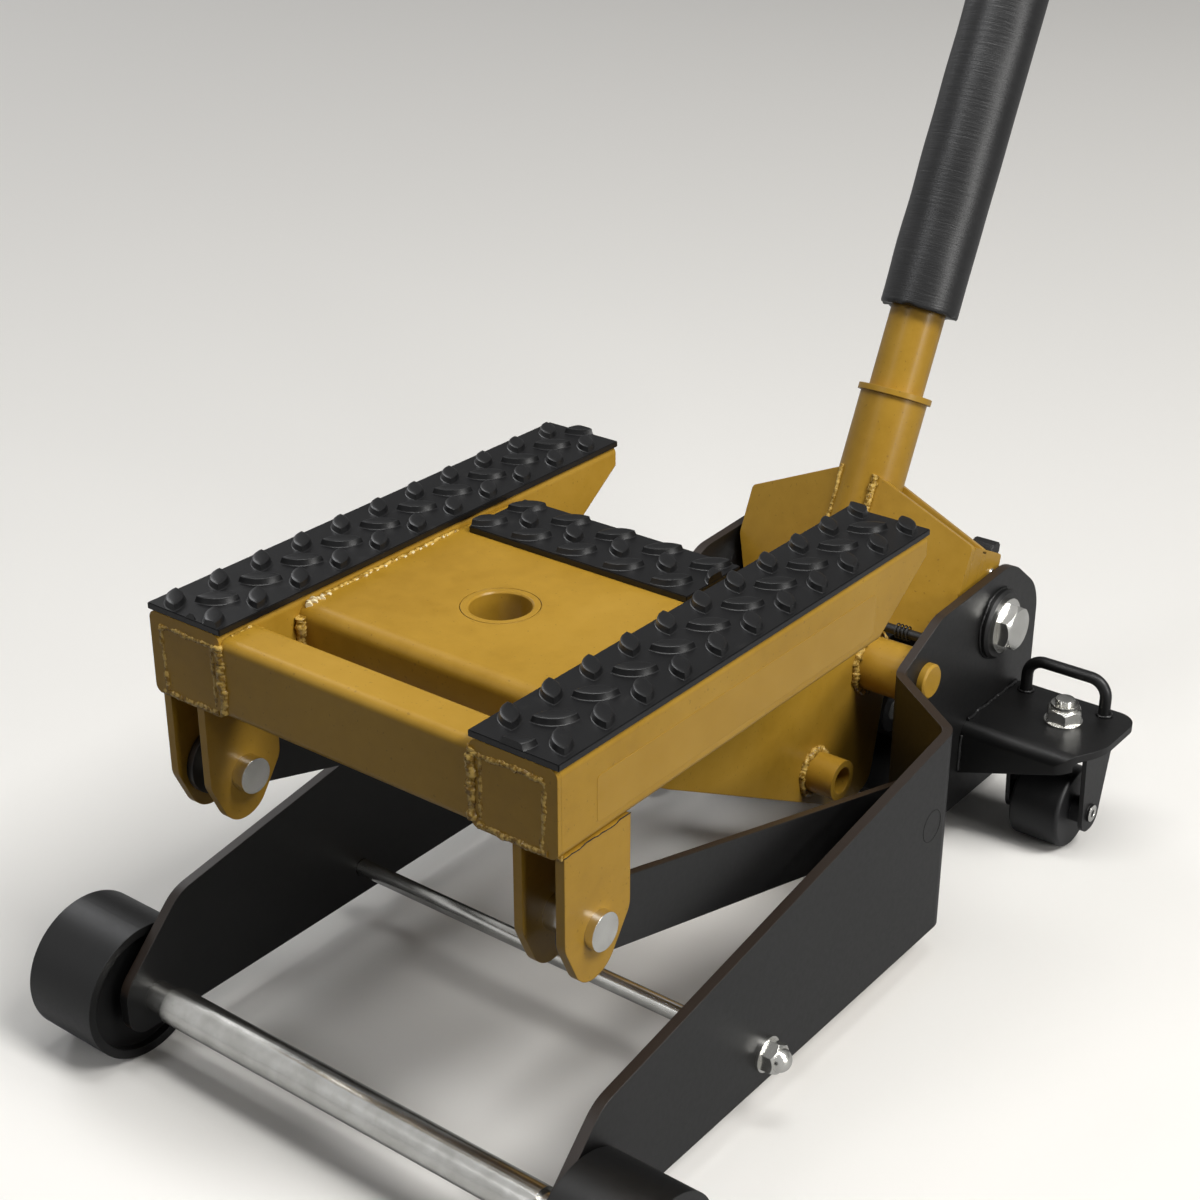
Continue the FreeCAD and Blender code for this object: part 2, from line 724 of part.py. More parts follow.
def armFrontPin():
    reach = arm_half_width + slide_gap + saddle_lug_thickness + front_pin_end
    return rodX(front_pin_radius, -reach, reach, arm_pin_y, arm_pin_z)


def parallelLink():
    # flat bar with round ends and a boss that spaces it from the side plate
    half = link_height / 2
    along = half * math.cos(math.radians(rest_angle))
    across = half * math.sin(math.radians(rest_angle))
    bar = sideSlab([
        (lug_pin_y - along - across, lug_pin_z + across - along, half),
        (lug_pin_y - along + across, lug_pin_z + across + along, half),
        (link_pivot_y + along + across, link_pivot_z - across + along, half),
        (link_pivot_y + along - across, link_pivot_z - across - along, half),
    ], link_inner_x, link_outer_x)
    boss_end = front_half_width - plate_thickness - end_gap
    boss = rodX(link_pin_radius + link_boss_wall, link_outer_x, boss_end, link_pivot_y, link_pivot_z)
    bar = bar.fuse(boss).cut(rodX(link_pin_radius + running_gap, 0, far, link_pivot_y, link_pivot_z))
    return bar.cut(rodX(lug_pin_radius + running_gap, 0, far, lug_pin_y, lug_pin_z)).removeSplitter()


# ---- hydraulic pieces that move ----
def liftCylinder():
    tube = rodY(cylinder_radius, 0, cylinder_length, 0, 0)
    foot = rodX(cylinder_foot_radius, -cylinder_radius, cylinder_radius, 0, 0)
    gland = rodY(cylinder_radius + gland_step, cylinder_length - gland_length, cylinder_length, 0, 0)
    tube = tube.fuse([foot, gland])
    tube = tube.cut(rodY(ram_radius + running_gap, trunnion_radius + cylinder_base, cylinder_length, 0, 0))
    tube = tube.cut(rodX(trunnion_radius + running_gap, -far, far, 0, 0))
    return inRamLine(tube.removeSplitter())


def liftRam():
    # the eye is a little long and tall for its pin: that is where the linkage is open
    rod = rodY(ram_radius, ram_tail, ram_reach, 0, 0)
    ram = rod.fuse(rodX(eye_radius, -cylinder_radius, cylinder_radius, ram_reach, 0))
    slide = eye_play_along - eye_play_across
    hole = ram_pin_radius + eye_play_across
    ram = ram.cut(rodX(hole, -far, far, ram_reach - slide, 0))
    ram = ram.cut(rodX(hole, -far, far, ram_reach + slide, 0))
    ram = ram.cut(block(-far, far, ram_reach - slide, ram_reach + slide, -hole, hole))
    return inRamLine(ram.removeSplitter())


def rollerCentre():
    angle = math.radians(roller_angle)
    return yoke_pivot_y + roller_arm * math.sin(angle), yoke_pivot_z - roller_arm * math.cos(angle)


def plungerHeight():
    # half way between the roller's highest and lowest points in its stroke
    return yoke_pivot_z - roller_arm * (1 + math.cos(math.radians(roller_swing))) / 2


def pumpPlunger():
    tip = rollerCentre()[0] - pump_roller_radius - slide_gap
    return rodY(plunger_radius, tip - plunger_length, tip, 0, plungerHeight())


def releaseValve():
    stem = rodY(valve_radius, block_rear - valve_depth + end_gap, block_rear + end_gap, valve_x, valve_z)
    end = block_rear + end_gap + valve_end_length
    knob = rodY(valve_end_radius, block_rear + end_gap, end, valve_x, valve_z)
    half = valve_slot_depth / 2
    slot = block(valve_x - half, valve_x + half, end - valve_slot_depth, end, 0, far)
    return stem.fuse(knob.cut(slot)).removeSplitter()


# ---- platform ----
def railSection(inset, y_low, y_high):
    corner = rail_corner - inset
    low_x = rail_inner_x + inset
    high_x = rail_outer_x - inset
    return frontSlab([
        (low_x, rail_bottom + inset, corner), (low_x, rail_top - inset, corner),
        (high_x, rail_top - inset, corner), (high_x, rail_bottom + inset, corner),
    ], y_low, y_high)


def platformRail():
    # square tube whose rear end slants up and back
    rear = platform_rear - pad_rear_edge
    tube = railSection(0, platform_front + rail_wall, rear)
    tube = tube.cut(railSection(rail_wall, platform_front, rear + beyond))
    slant = sideSlab([
        (rear - rail_slant, rail_bottom - beyond, 0), (rear, rail_top - rail_chin, 0),
        (rear + beyond, rail_top - rail_chin, 0), (rear + beyond, rail_bottom - beyond, 0),
    ], 0, far)
    return tube.cut(slant)


def railCap():
    return railSection(0, platform_front, platform_front + rail_wall)


def crossTubeSection(inset, reach):
    front = platform_front + cross_tube_setback + inset
    rear = platform_front + cross_tube_depth - inset
    low = rail_bottom + inset
    top = rail_top - cross_tube_drop - inset
    corner = cross_tube_corner - inset
    return sideSlab([(front, low, corner), (front, top, corner), (rear, top, corner), (rear, low, corner)],
                    -reach, reach)


def crossTube():
    return crossTubeSection(0, rail_inner_x).cut(crossTubeSection(rail_wall, rail_inner_x + beyond))


def saddlePlate():
    # plate folded down along its front and rear edges, with the hole for the adapters' collar
    low = saddle_top - saddle_thickness
    outer_bend = saddle_thickness + saddle_bend
    front_low = saddle_top - saddle_front_flange
    rear_low = saddle_top - saddle_rear_flange
    plate = sideSlab([
        (saddle_front, front_low, 0), (saddle_front, saddle_top, outer_bend),
        (saddle_rear, saddle_top, outer_bend), (saddle_rear, rear_low, 0),
        (saddle_rear - saddle_thickness, rear_low, 0),
        (saddle_rear - saddle_thickness, low, saddle_bend),
        (saddle_front + saddle_thickness, low, saddle_bend),
        (saddle_front + saddle_thickness, front_low, 0),
    ], -rail_inner_x, rail_inner_x)
    collar = adapter_radius + collar_wall
    plate = plate.cut(rodZ(collar, 0, far, 0, adapter_y))
    plate = plate.cut(rodZ(collar + seam_width, saddle_top - seam_depth, far, 0, adapter_y))
    seat = saddle_rear - cross_pad_edge - cross_pad_depth
    return plate.cut(block(-far, far, seat, far, saddle_top - cross_pad_seat, far))


def adapterCollar():
    # let into the saddle plate, its top flush with the plate's
    low = saddle_top - saddle_thickness - collar_height
    ring = rodZ(adapter_radius + collar_wall, low, saddle_top, 0, adapter_y)
    ring = ring.cut(rodZ(adapter_radius, 0, far, 0, adapter_y))
    mouth = [edge for edge in ring.Edges if edge.BoundBox.ZMin > saddle_top - beyond
             and edge.BoundBox.XMax < adapter_radius + beyond]
    return ring.makeChamfer(adapter_chamfer, mouth)


def railLugs():
    # two lugs under each rail, one flush with the rail's outer face
    lugs = []
    front = lug_pin_y - lug_front
    rear = lug_pin_y + lug_back
    tip = lug_pin_z - lug_tip
    for high in (rail_outer_x, rail_outer_x - lug_thickness - lug_gap):
        lug = sideSlab([
            (front, rail_bottom, 0), (rear, rail_bottom, 0), (rear, lug_pin_z, lug_corner),
            (lug_pin_y + lug_tip_back, tip, lug_tip_corner),
            (lug_pin_y - lug_tip_front, tip, lug_tip_corner),
            (front, lug_pin_z, lug_corner),
        ], high - lug_thickness, high)
        lugs.append(lug.cut(rodX(lug_pin_radius, 0, far, lug_pin_y, lug_pin_z)))
    return pair(Part.makeCompound(lugs))


def lugPins():
    inner = rail_outer_x - lug_thickness * 2 - lug_gap - lug_pin_tail
    return pair(rodX(lug_pin_radius, inner, rail_outer_x + lug_pin_head, lug_pin_y, lug_pin_z))


def saddleLugs():
    start = arm_half_width + slide_gap
    top = saddle_top - saddle_thickness
    half = saddle_lug_depth / 2
    tip = arm_pin_z - saddle_lug_tip
    lug = sideSlab([
        (arm_pin_y - half, top, 0), (arm_pin_y + half, top, 0),
        (arm_pin_y + half, tip, saddle_lug_corner), (arm_pin_y - half, tip, saddle_lug_corner),
    ], start, start + saddle_lug_thickness)
    return pair(lug.cut(rodX(front_pin_radius + running_gap, 0, far, arm_pin_y, arm_pin_z)))


def longPad():
    return block(rail_inner_x - pad_overhang, rail_outer_x + pad_overhang, platform_front, platform_rear,
                 rail_top, rail_top + pad_thickness)


def crossPad():
    reach = rail_inner_x - cross_pad_gap
    rear = saddle_rear - cross_pad_edge
    return block(-reach, reach, rear - cross_pad_depth, rear,
                 saddle_top - cross_pad_seat, saddle_top + pad_thickness)


# ---- yoke and handle ----
def yokePlate(face, prow):
    # a plate bent along the middle, its prow towards the front, cut to the yoke's outline
    half = yoke_half_width
    back = face + yoke_plate_thickness
    strip = topSlab([
        (-half, face, 0), (0, face - prow, 0), (half, face, 0),
        (half, back, 0), (0, back - prow, 0), (-half, back, 0),
    ], -far, far)
    foot = half - yoke_taper
    outline = frontSlab([
        (0, yoke_peak, 0), (half, 0, yoke_corner / 2), (half, -yoke_waist, yoke_corner),
        (foot, -yoke_depth, yoke_corner), (-foot, -yoke_depth, yoke_corner),
        (-half, -yoke_waist, yoke_corner), (-half, 0, yoke_corner / 2),
    ], -far, far)
    return strip.common(outline).cut(rodZ(socket_radius, socket_bottom, far, 0, 0))


def yokeFrontPlate():
    return inYoke(yokePlate(-yoke_face, yoke_prow))


def rearPlateBlank():
    return yokePlate(yoke_gap - yoke_face - yoke_plate_thickness, yoke_rear_prow)


def yokeRearPlate():
    return inYoke(rearPlateBlank().common(block(-far, far, -far, far, -yoke_rear_depth, far)))


def yokeSidePlate():
    # from the front plate's edge back to the pivot, with a tab corner behind the shoulder
    pivot_d, pivot_u = pivotInYoke()
    front = yoke_plate_thickness - yoke_face
    rear = pivot_d + yoke_pivot_reach
    bottom = pivot_u - yoke_pivot_reach
    plate = sideSlab([
        (front, bottom / 2, 0), (front, 0, 0), (pivot_d - yoke_corner / 2, 0, yoke_corner / 2),
        (pivot_d, -yoke_tab_drop, yoke_corner),
        (rear, pivot_u + yoke_pivot_reach / 2, yoke_pivot_reach / 2),
        (rear, bottom, yoke_pivot_reach), (pivot_d - yoke_pivot_reach, bottom, yoke_corner),
    ], yoke_inner_x, yoke_half_width)
    # the rear plate crosses the side plate; what lies ahead of it belongs to the same plate
    plate = inYoke(plate.cut(rearPlateBlank().common(block(-far, far, -far, far, -yoke_rear_depth, far))))
    return plate.cut(rodX(yoke_bolt_radius + running_gap, 0, far, yoke_pivot_y, yoke_pivot_z))


def handleSocket():
    tube = rodZ(socket_radius, socket_bottom, socket_top, 0, 0)
    tube = tube.fuse(rodZ(socket_radius + rim_width, socket_top - rim_height, socket_top, 0, 0))
    tube = tube.cut(rodZ(tube_radius + running_gap, socket_bottom, socket_top, 0, 0))
    return inYoke(tube.removeSplitter())


def setScrew():
    screw = rodY(set_screw_radius, 0, socket_radius + set_screw_length, 0, set_screw_height)
    return inYoke(screw.cut(rodZ(socket_radius, 0, far, 0, 0)))


def pumpRoller():
    y, z = rollerCentre()
    half = pump_roller_width / 2
    return rodX(pump_roller_radius, -half, half, y, z).cut(rodX(pump_shaft_radius, -half, half, y, z))


def pumpRollerShaft():
    # cross shaft between the yoke's side plates that carries the pump roller
    y, z = rollerCentre()
    return rodX(pump_shaft_radius, -yoke_inner_x, yoke_inner_x, y, z)


def handleTube():
    top = tube_top - grip_end
    tube = rodZ(tube_radius, tube_bottom, top, 0, 0)
    return inYoke(tube.cut(rodZ(tube_radius - tube_wall, tube_bottom, top, 0, 0)))


def foamSleeve():
    foam = rodZ(foam_radius, foam_bottom, foam_bottom + foam_length, 0, 0)
    return inYoke(foam.cut(rodZ(tube_radius, 0, tube_top, 0, 0)))


def handGrip():
    grip = rodZ(grip_radius, tube_top - grip_length, tube_top, 0, 0)
    grip = grip.cut(rodZ(tube_radius, 0, tube_top - grip_end, 0, 0))
    rims = [edge for edge in grip.Edges if edge.BoundBox.XLength > grip_radius + tube_radius]
    return inYoke(grip.makeFillet(grip_edge, rims))


# ---- casters ----
def casterFork():
    top = bracket_low - race_height - slide_gap
    crown = rodZ(race_radius, top - fork_thickness, top, stud_x, stud_y)
    half = fork_top_width / 2
    foot = caster_radius - fork_foot_drop
    profile = [
        (stud_y - half, top, fork_corner), (stud_y + half, top, fork_corner),
        (caster_axle_y + fork_foot, foot, fork_foot), (caster_axle_y - fork_foot, foot, fork_foot),
    ]
    left = stud_x - fork_half_width
    right = stud_x + fork_half_width
    legs = [sideSlab(profile, right - fork_thickness, right),
            sideSlab(profile, left, left + fork_thickness)]
    reach = half - fork_corner
    bridge = block(left, right, stud_y - reach, stud_y + reach, top - fork_thickness, top)
    fork = crown.fuse(legs + [bridge]).cut(rodZ(stud_radius + running_gap, 0, far, stud_x, stud_y))
    fork = fork.removeSplitter().cut(rodX(rivet_radius, 0, far, caster_axle_y, caster_radius))
    rivet = rodX(rivet_radius, left - rivet_head, right + rivet_head, caster_axle_y, caster_radius)
    heads = [rodX(rivet_radius + rivet_head, right, right + rivet_head, caster_axle_y, caster_radius),
             rodX(rivet_radius + rivet_head, left - rivet_head, left, caster_axle_y, caster_radius)]
    return Part.makeCompound([fork, rivet.fuse(heads).removeSplitter()])


def casterWheel():
    half = caster_width / 2
    tread = rodX(caster_radius, stud_x - half, stud_x + half, caster_axle_y, caster_radius)
    rims = [edge for edge in tread.Edges if edge.BoundBox.ZLength > caster_radius]
    tread = tread.makeFillet(caster_edge, rims)
    hub = fork_half_width - fork_thickness - end_gap
    tread = tread.fuse(rodX(caster_hub_radius, stud_x - hub, stud_x + hub, caster_axle_y, caster_radius))
    tread = tread.cut(rodX(rivet_radius + running_gap, 0, far, caster_axle_y, caster_radius))
    return tread.removeSplitter()


nodes = {
    "side_plate_right": sidePlate(),
    "side_plate_left": mirrored(sidePlate()),
    "front_axle": frontAxle(),
    "axle_spacer_tube": axleSpacer(),
    "axle_snap_rings": snapRings(),
    "front_roller_right": frontRoller(),
    "front_roller_left": mirrored(frontRoller()),
    "tie_rod": tieRod(),
    "tie_rod_nuts": tieRodNuts(),
    "link_pivot_pins": linkPins(),
    "arm_pivot_shaft": armShaft(),
    "floor_plate": floorPlate(),
    "pump_block": pumpBlock(),
    "filler_plug": fillerPlug(),
    "trunnion_pin": trunnionPin(),
    "caster_bracket_right": casterBracket(),
    "caster_bracket_left": mirrored(casterBracket()),
    "carry_loops": pair(carryLoop()),
    "caster_studs": pair(casterStud()),
    "caster_lock_nuts": pair(lockNut()),
    "yoke_pivot_bolts": pair(yokeBolt()),
    "pivot_collars": pair(pivotCollar()),
    "pivot_washers": pair(pivotWasher()),
    "arm_side_plates": pair(armPlate()),
    "arm_pivot_hub": armHub(),
    "arm_bosses": pair(armBoss()),
    "ram_pin": ramPin(),
    "arm_web": armWeb(),
    "arm_front_pin": armFrontPin(),
    "parallel_link_right": parallelLink(),
    "parallel_link_left": mirrored(parallelLink()),
    "lift_cylinder": liftCylinder(),
    "lift_ram": liftRam(),
    "pump_plunger": pumpPlunger(),
    "release_valve": releaseValve(),
    "platform_rail_right": platformRail(),
    "platform_rail_left": mirrored(platformRail()),
    "rail_front_caps": pair(railCap()),
    "platform_cross_tube": crossTube(),
    "saddle_plate": saddlePlate(),
    "adapter_collar": adapterCollar(),
    "rail_lugs": railLugs(),
    "lug_pins": lugPins(),
    "saddle_lugs": saddleLugs(),
    "long_tread_pads": pair(longPad()),
    "cross_tread_pad": crossPad(),
    "yoke_front_plate": yokeFrontPlate(),
    "yoke_rear_plate": yokeRearPlate(),
    "yoke_side_plates": pair(yokeSidePlate()),
    "handle_socket": handleSocket(),
    "socket_set_screw": setScrew(),
    "pump_roller_shaft": pumpRollerShaft(),
    "pump_roller": pumpRoller(),
    "handle_tube": handleTube(),
    "foam_sleeve": foamSleeve(),
    "hand_grip": handGrip(),
    "caster_fork_right": casterFork(),
    "caster_fork_left": mirrored(casterFork()),
    "caster_wheel_right": casterWheel(),
    "caster_wheel_left": mirrored(casterWheel()),
}
os.makedirs("parts", exist_ok=True)
for name, shape in nodes.items():
    shape = shape.copy()
    shape.translate(Vector(0, front_axle_y, 0))
    shape.exportStep("parts/" + name + ".step")
print("nodes", len(nodes))
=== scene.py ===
import bmesh, bpy, json, math, random
from mathutils import Matrix, Vector


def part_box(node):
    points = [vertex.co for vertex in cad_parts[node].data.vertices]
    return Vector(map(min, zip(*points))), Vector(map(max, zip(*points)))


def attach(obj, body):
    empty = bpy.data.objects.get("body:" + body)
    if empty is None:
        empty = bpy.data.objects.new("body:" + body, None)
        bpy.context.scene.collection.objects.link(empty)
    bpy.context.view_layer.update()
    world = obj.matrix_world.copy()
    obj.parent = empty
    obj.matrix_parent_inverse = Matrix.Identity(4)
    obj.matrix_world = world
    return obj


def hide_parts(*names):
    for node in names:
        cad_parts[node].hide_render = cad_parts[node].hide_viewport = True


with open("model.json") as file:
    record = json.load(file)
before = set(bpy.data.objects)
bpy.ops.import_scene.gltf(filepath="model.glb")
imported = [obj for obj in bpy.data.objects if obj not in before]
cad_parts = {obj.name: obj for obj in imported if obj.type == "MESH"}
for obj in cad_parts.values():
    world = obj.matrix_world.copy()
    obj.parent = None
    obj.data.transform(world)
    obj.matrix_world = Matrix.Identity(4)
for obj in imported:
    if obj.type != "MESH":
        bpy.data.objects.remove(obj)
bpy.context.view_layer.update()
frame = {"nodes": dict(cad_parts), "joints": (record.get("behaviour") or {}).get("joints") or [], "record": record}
nodes = frame["nodes"]
print("frame loaded:", len(nodes), "nodes")

mm = 0.001
scene = bpy.context.scene
joints = {joint["name"]: joint for joint in frame["joints"]}
handleFoot = Vector(joints["handle_twist"]["pos_m"])
handleUp = Vector(joints["handle_twist"]["axis"]).normalized()
handleBack = Vector((0, handleUp.z, -handleUp.y))


class Val:
    # one value inside a material; plain arithmetic on it adds Math nodes
    def __init__(self, tree, socket):
        self.tree = tree
        self.socket = socket

    def step(self, operation, *others):
        node = self.tree.nodes.new("ShaderNodeMath")
        node.operation = operation
        for place, value in enumerate((self,) + others):
            plug(self.tree, node.inputs[place], value)
        return Val(self.tree, node.outputs[0])

    def __add__(self, other):
        return self.step("ADD", other)

    def __sub__(self, other):
        return self.step("SUBTRACT", other)

    def __mul__(self, other):
        return self.step("MULTIPLY", other)

    def __truediv__(self, other):
        return self.step("DIVIDE", other)

    def __pow__(self, other):
        return self.step("POWER", other)

    def __rsub__(self, other):
        return (self * -1.0) + other

    __radd__ = __add__
    __rmul__ = __mul__

    def over(self, edge, soft):
        # 0 below edge, 1 above it, with a soft step between
        return ((self - edge) / soft + 0.5).step("MINIMUM", 1.0).step("MAXIMUM", 0.0)


def plug(tree, socket, value):
    if isinstance(value, Val):
        tree.links.new(value.socket, socket)
    else:
        socket.default_value = value


class Finish:
    # one material and the nodes it is made of
    def __init__(self, name):
        self.material = bpy.data.materials.new(name)
        self.material.use_nodes = True
        self.tree = self.material.node_tree
        self.shader = self.tree.nodes["Principled BSDF"]
        self.place = self.add("ShaderNodeTexCoord", out="Object")

    def add(self, kind, settings=None, sockets=None, out=0):
        node = self.tree.nodes.new(kind)
        for key, value in (settings or {}).items():
            if key == "stops":
                ramp = node.color_ramp
                while len(ramp.elements) < len(value):
                    ramp.elements.new(0.5)
                for element, (where, colour) in zip(ramp.elements, value):
                    element.position = where
                    element.color = (*colour, 1.0)
            else:
                setattr(node, key, value)
        for key, value in (sockets or {}).items():
            plug(self.tree, node.inputs[key], value)
        return Val(self.tree, node.outputs[out])

    def noise(self, scale, detail=3.0, rough=0.55, at=None):
        sockets = {"Vector": at or self.place, "Scale": scale, "Detail": detail, "Roughness": rough}
        return self.add("ShaderNodeTexNoise", None, sockets, "Fac")

    def stretched(self, scale):
        # object coordinates with each direction scaled by its own amount
        return self.add("ShaderNodeMapping", None, {"Vector": self.place, "Scale": scale})

    def ramp(self, value, stops):
        return self.add("ShaderNodeValToRGB", {"stops": stops}, {"Fac": value}, "Color")

    def mix(self, amount, low, high):
        node = self.tree.nodes.new("ShaderNodeMix")
        node.data_type = "RGBA"
        plug(self.tree, node.inputs[0], amount)
        for place, value in ((6, low), (7, high)):
            plug(self.tree, node.inputs[place], value if isinstance(value, Val) else (*value, 1.0))
        return Val(self.tree, node.outputs[2])

    def facing(self, axis):
        # how far the surface looks along one of the object's axes, from -1 to 1
        normal = self.add("ShaderNodeTexCoord", out="Normal")
        return self.add("ShaderNodeSeparateXYZ", None, {"Vector": normal}, "XYZ".index(axis))

    def along(self, axis):
        return self.add("ShaderNodeSeparateXYZ", None, {"Vector": self.place}, "XYZ".index(axis))

    def bump(self, height, strength, distance, under=None):
        sockets = {"Height": height, "Strength": strength, "Distance": distance}
        if under is not None:
            sockets["Normal"] = under
        return self.add("ShaderNodeBump", None, sockets, "Normal")

    def softEdge(self, radius):
        return self.add("ShaderNodeBevel", {"samples": 4}, {"Radius": radius}, "Normal")

    def finish(self, **values):
        names = {"colour": "Base Color", "rough": "Roughness", "metal": "Metallic", "normal": "Normal",
                 "coat": "Coat Weight", "coatRough": "Coat Roughness", "specular": "Specular IOR Level"}
        for key, value in values.items():
            if key == "colour" and not isinstance(value, Val):
                value = (*value, 1.0)
            plug(self.tree, self.shader.inputs[names[key]], value)
        return self.material


def tint(red, green, blue):
    # a colour as it looks on screen, 0 to 255, as the linear one that shaders use
    def linear(level):
        level = level / 255
        return level / 12.92 if level <= 0.04045 else ((level + 0.055) / 1.055) ** 2.4
    return linear(red), linear(green), linear(blue)


goldLook = {"light": (178, 139, 52), "mid": (170, 131, 43), "deep": (156, 118, 34)}


def goldPaint(name="goldEnamel", rough=0.34, paintedGlints=False):
    # for weld beads: glossier, with bright patches painted into the colour as highlights
    look = Finish(name)
    broad = look.noise(7.0, 2.0)
    fine = look.noise(90.0, 4.0, 0.6)
    peel = look.noise(900.0, 2.0, 0.5)
    colour = look.ramp(broad * 0.7 + fine * 0.3, [
        (0.30, tint(*goldLook["deep"])), (0.48, tint(*goldLook["mid"])), (0.66, tint(*goldLook["light"]))])
    specks = look.noise(420.0, 1.0, 0.4).over(0.735, 0.03)
    colour = look.mix(specks * 0.35, colour, tint(92, 66, 26))
    edge = look.softEdge(0.9 * mm)
    normal = look.bump(peel * 0.6 + fine * 0.4, 0.10, 0.3 * mm, edge)
    if paintedGlints:
        # painted highlight: bright gold patches on darker gold stand in for glints on the bead lumps
        scale = look.noise(300.0, 3.0, 0.6).over(0.50, 0.12)
        colour = look.mix(scale, tint(140, 106, 34), tint(206, 172, 92))
    rough = fine * 0.16 + broad * 0.10 + (rough - 0.12)
    return look.finish(colour=colour, rough=rough, normal=normal, coat=0.08, coatRough=0.14, specular=0.26)


def blackPaint(name="blackPowderCoat", cutEdges=False, gloss=0.34):
    look = Finish(name)
    broad = look.noise(9.0, 3.0)
    fine = look.noise(260.0, 3.0, 0.6)
    grain = look.noise(1500.0, 2.0, 0.5)
    colour = look.ramp(broad, [(0.35, tint(9, 9, 9)), (0.65, tint(14, 13, 13))])
    if cutEdges:
        # flame-cut edges of the thick plates, warmer
        cut = look.facing("Z").step("ABSOLUTE").over(0.3, 0.2)
        colour = look.mix(cut * 0.8, colour, tint(46, 35, 27))
    scuffs = look.noise(38.0, 6.0, 0.75).over(0.70, 0.05)
    colour = look.mix(scuffs * 0.05, colour, tint(120, 116, 110))
    edge = look.softEdge(0.8 * mm)
    normal = look.bump(grain * 0.7 + fine * 0.3, 0.16, 0.25 * mm, edge)
    rough = fine * 0.14 + scuffs * 0.1 + gloss
    return look.finish(colour=colour, rough=rough, normal=normal, specular=0.5)


def zincPlate():
    look = Finish("brightZinc")
    cloud = look.noise(70.0, 3.0, 0.5)
    grain = look.noise(1.0, 3.0, 0.6, look.stretched((90.0, 1400.0, 1400.0)))
    colour = look.ramp(cloud, [(0.35, tint(216, 215, 209)), (0.65, tint(232, 231, 226))])
    spots = look.noise(300.0, 3.0, 0.6).over(0.70, 0.05)
    colour = look.mix(spots * 0.2, colour, tint(150, 143, 124))
    normal = look.bump(grain, 0.12, 0.15 * mm, look.softEdge(0.5 * mm))
    return look.finish(colour=colour, rough=cloud * 0.05 + grain * 0.10 + 0.15, metal=1.0, normal=normal)


def chromeRod():
    look = Finish("hardChrome")
    cloud = look.noise(40.0, 3.0)
    colour = look.ramp(cloud, [(0.3, tint(205, 206, 208)), (0.7, tint(226, 226, 228))])
    return look.finish(colour=colour, rough=cloud * 0.06 + 0.08, metal=1.0, normal=look.softEdge(0.4 * mm))


def castBlock():
    look = Finish("castIronPaint")
    lumps = look.noise(180.0, 4.0, 0.65)
    broad = look.noise(14.0, 2.0)
    colour = look.ramp(broad, [(0.35, tint(20, 19, 19)), (0.65, tint(30, 29, 28))])
    normal = look.bump(lumps, 0.5, 0.5 * mm, look.softEdge(1.5 * mm))
    return look.finish(colour=colour, rough=lumps * 0.2 + 0.42, normal=normal)


def rubber(name, low, high, rough):
    look = Finish(name)
    broad = look.noise(16.0, 4.0, 0.6)
    grain = look.noise(1300.0, 3.0, 0.6)
    dust = look.noise(55.0, 6.0, 0.7).over(0.64, 0.12)
    colour = look.ramp(broad, [(0.35, tint(*low)), (0.65, tint(*high))])
    colour = look.mix(dust * 0.04, colour, tint(98, 94, 88))
    normal = look.bump(grain, 0.22, 0.2 * mm)
    return look.finish(colour=colour, rough=grain * 0.12 + dust * 0.1 + rough, normal=normal, specular=0.42)


def foamSkin():
    # soft skin with fine creases that run round the sleeve
    look = Finish("foamSkin")
    broad = look.noise(16.0, 4.0, 0.6)
    along = look.along("Y") * handleUp.y + look.along("Z") * handleUp.z
    across = look.along("Y") * handleUp.z - look.along("Z") * handleUp.y
    spread = look.add("ShaderNodeCombineXYZ", None, {
        "X": look.along("X") * 45.0, "Y": across * 45.0, "Z": along * 520.0})
    crease = look.noise(1.0, 5.0, 0.62, spread)
    grain = look.noise(1400.0, 2.0, 0.6)
    # painted shade: the colour is darker where the crease noise is low, in the crease valleys, on top of random
    # tone
    colour = look.ramp(broad * 0.6 + crease * 0.4, [(0.35, tint(13, 13, 14)), (0.65, tint(24, 24, 25))])
    normal = look.bump(crease * 0.85 + grain * 0.15, 0.55, 0.7 * mm)
    return look.finish(colour=colour, rough=crease * 0.14 + 0.30, normal=normal, specular=0.55)


def wheelNylon():
    look = Finish("wheelNylon")
    broad = look.noise(30.0, 4.0)
    grain = look.noise(900.0, 2.0)
    colour = look.ramp(broad, [(0.3, tint(20, 20, 21)), (0.7, tint(34, 34, 35))])
    normal = look.bump(grain, 0.15, 0.2 * mm, look.softEdge(0.8 * mm))
    return look.finish(colour=colour, rough=broad * 0.15 + 0.36, normal=normal)


def filmFinish():
    look = Finish("blankFilm")
    cloud = look.noise(30.0, 3.0)
    fine = look.noise(400.0, 3.0)
    colour = look.ramp(cloud, [(0.35, tint(170, 131, 45)), (0.65, tint(176, 137, 51))])
    normal = look.bump(cloud * 0.8 + fine * 0.2, 0.05, 0.3 * mm)
    return look.finish(colour=colour, rough=fine * 0.06 + 0.20, normal=normal, specular=0.28)


finishes = {
    "gold_paint": goldPaint(),
    "black_paint": blackPaint(),
    "zinc_plate": zincPlate(),
    "chrome_rod": chromeRod(),
    "block_iron": castBlock(),
    "pad_rubber": rubber("treadRubber", (10, 10, 11), (17, 17, 18), 0.30),
    "foam_rubber": foamSkin(),
    "grip_rubber": rubber("gripRubber", (14, 14, 15), (22, 22, 23), 0.44),
    "wheel_plastic": wheelNylon(),
}
cutPlate = blackPaint("cutPlate", True)
slotOf = {part["node"]: part["material_slot"] for part in frame["record"]["subparts"]}
for name, obj in nodes.items():
    obj.data.materials.clear()
    flameCut = name.startswith(("side_plate", "parallel_link"))
    obj.data.materials.append(cutPlate if flameCut else finishes[slotOf[name]])
print("finishes made:", len(finishes))


def onHandle(x, back, up):
    # from the handle's own directions, millimetres, to the jack's, metres
    return handleFoot + Vector((x * mm, 0, 0)) + handleBack * (back * mm) + handleUp * (up * mm)


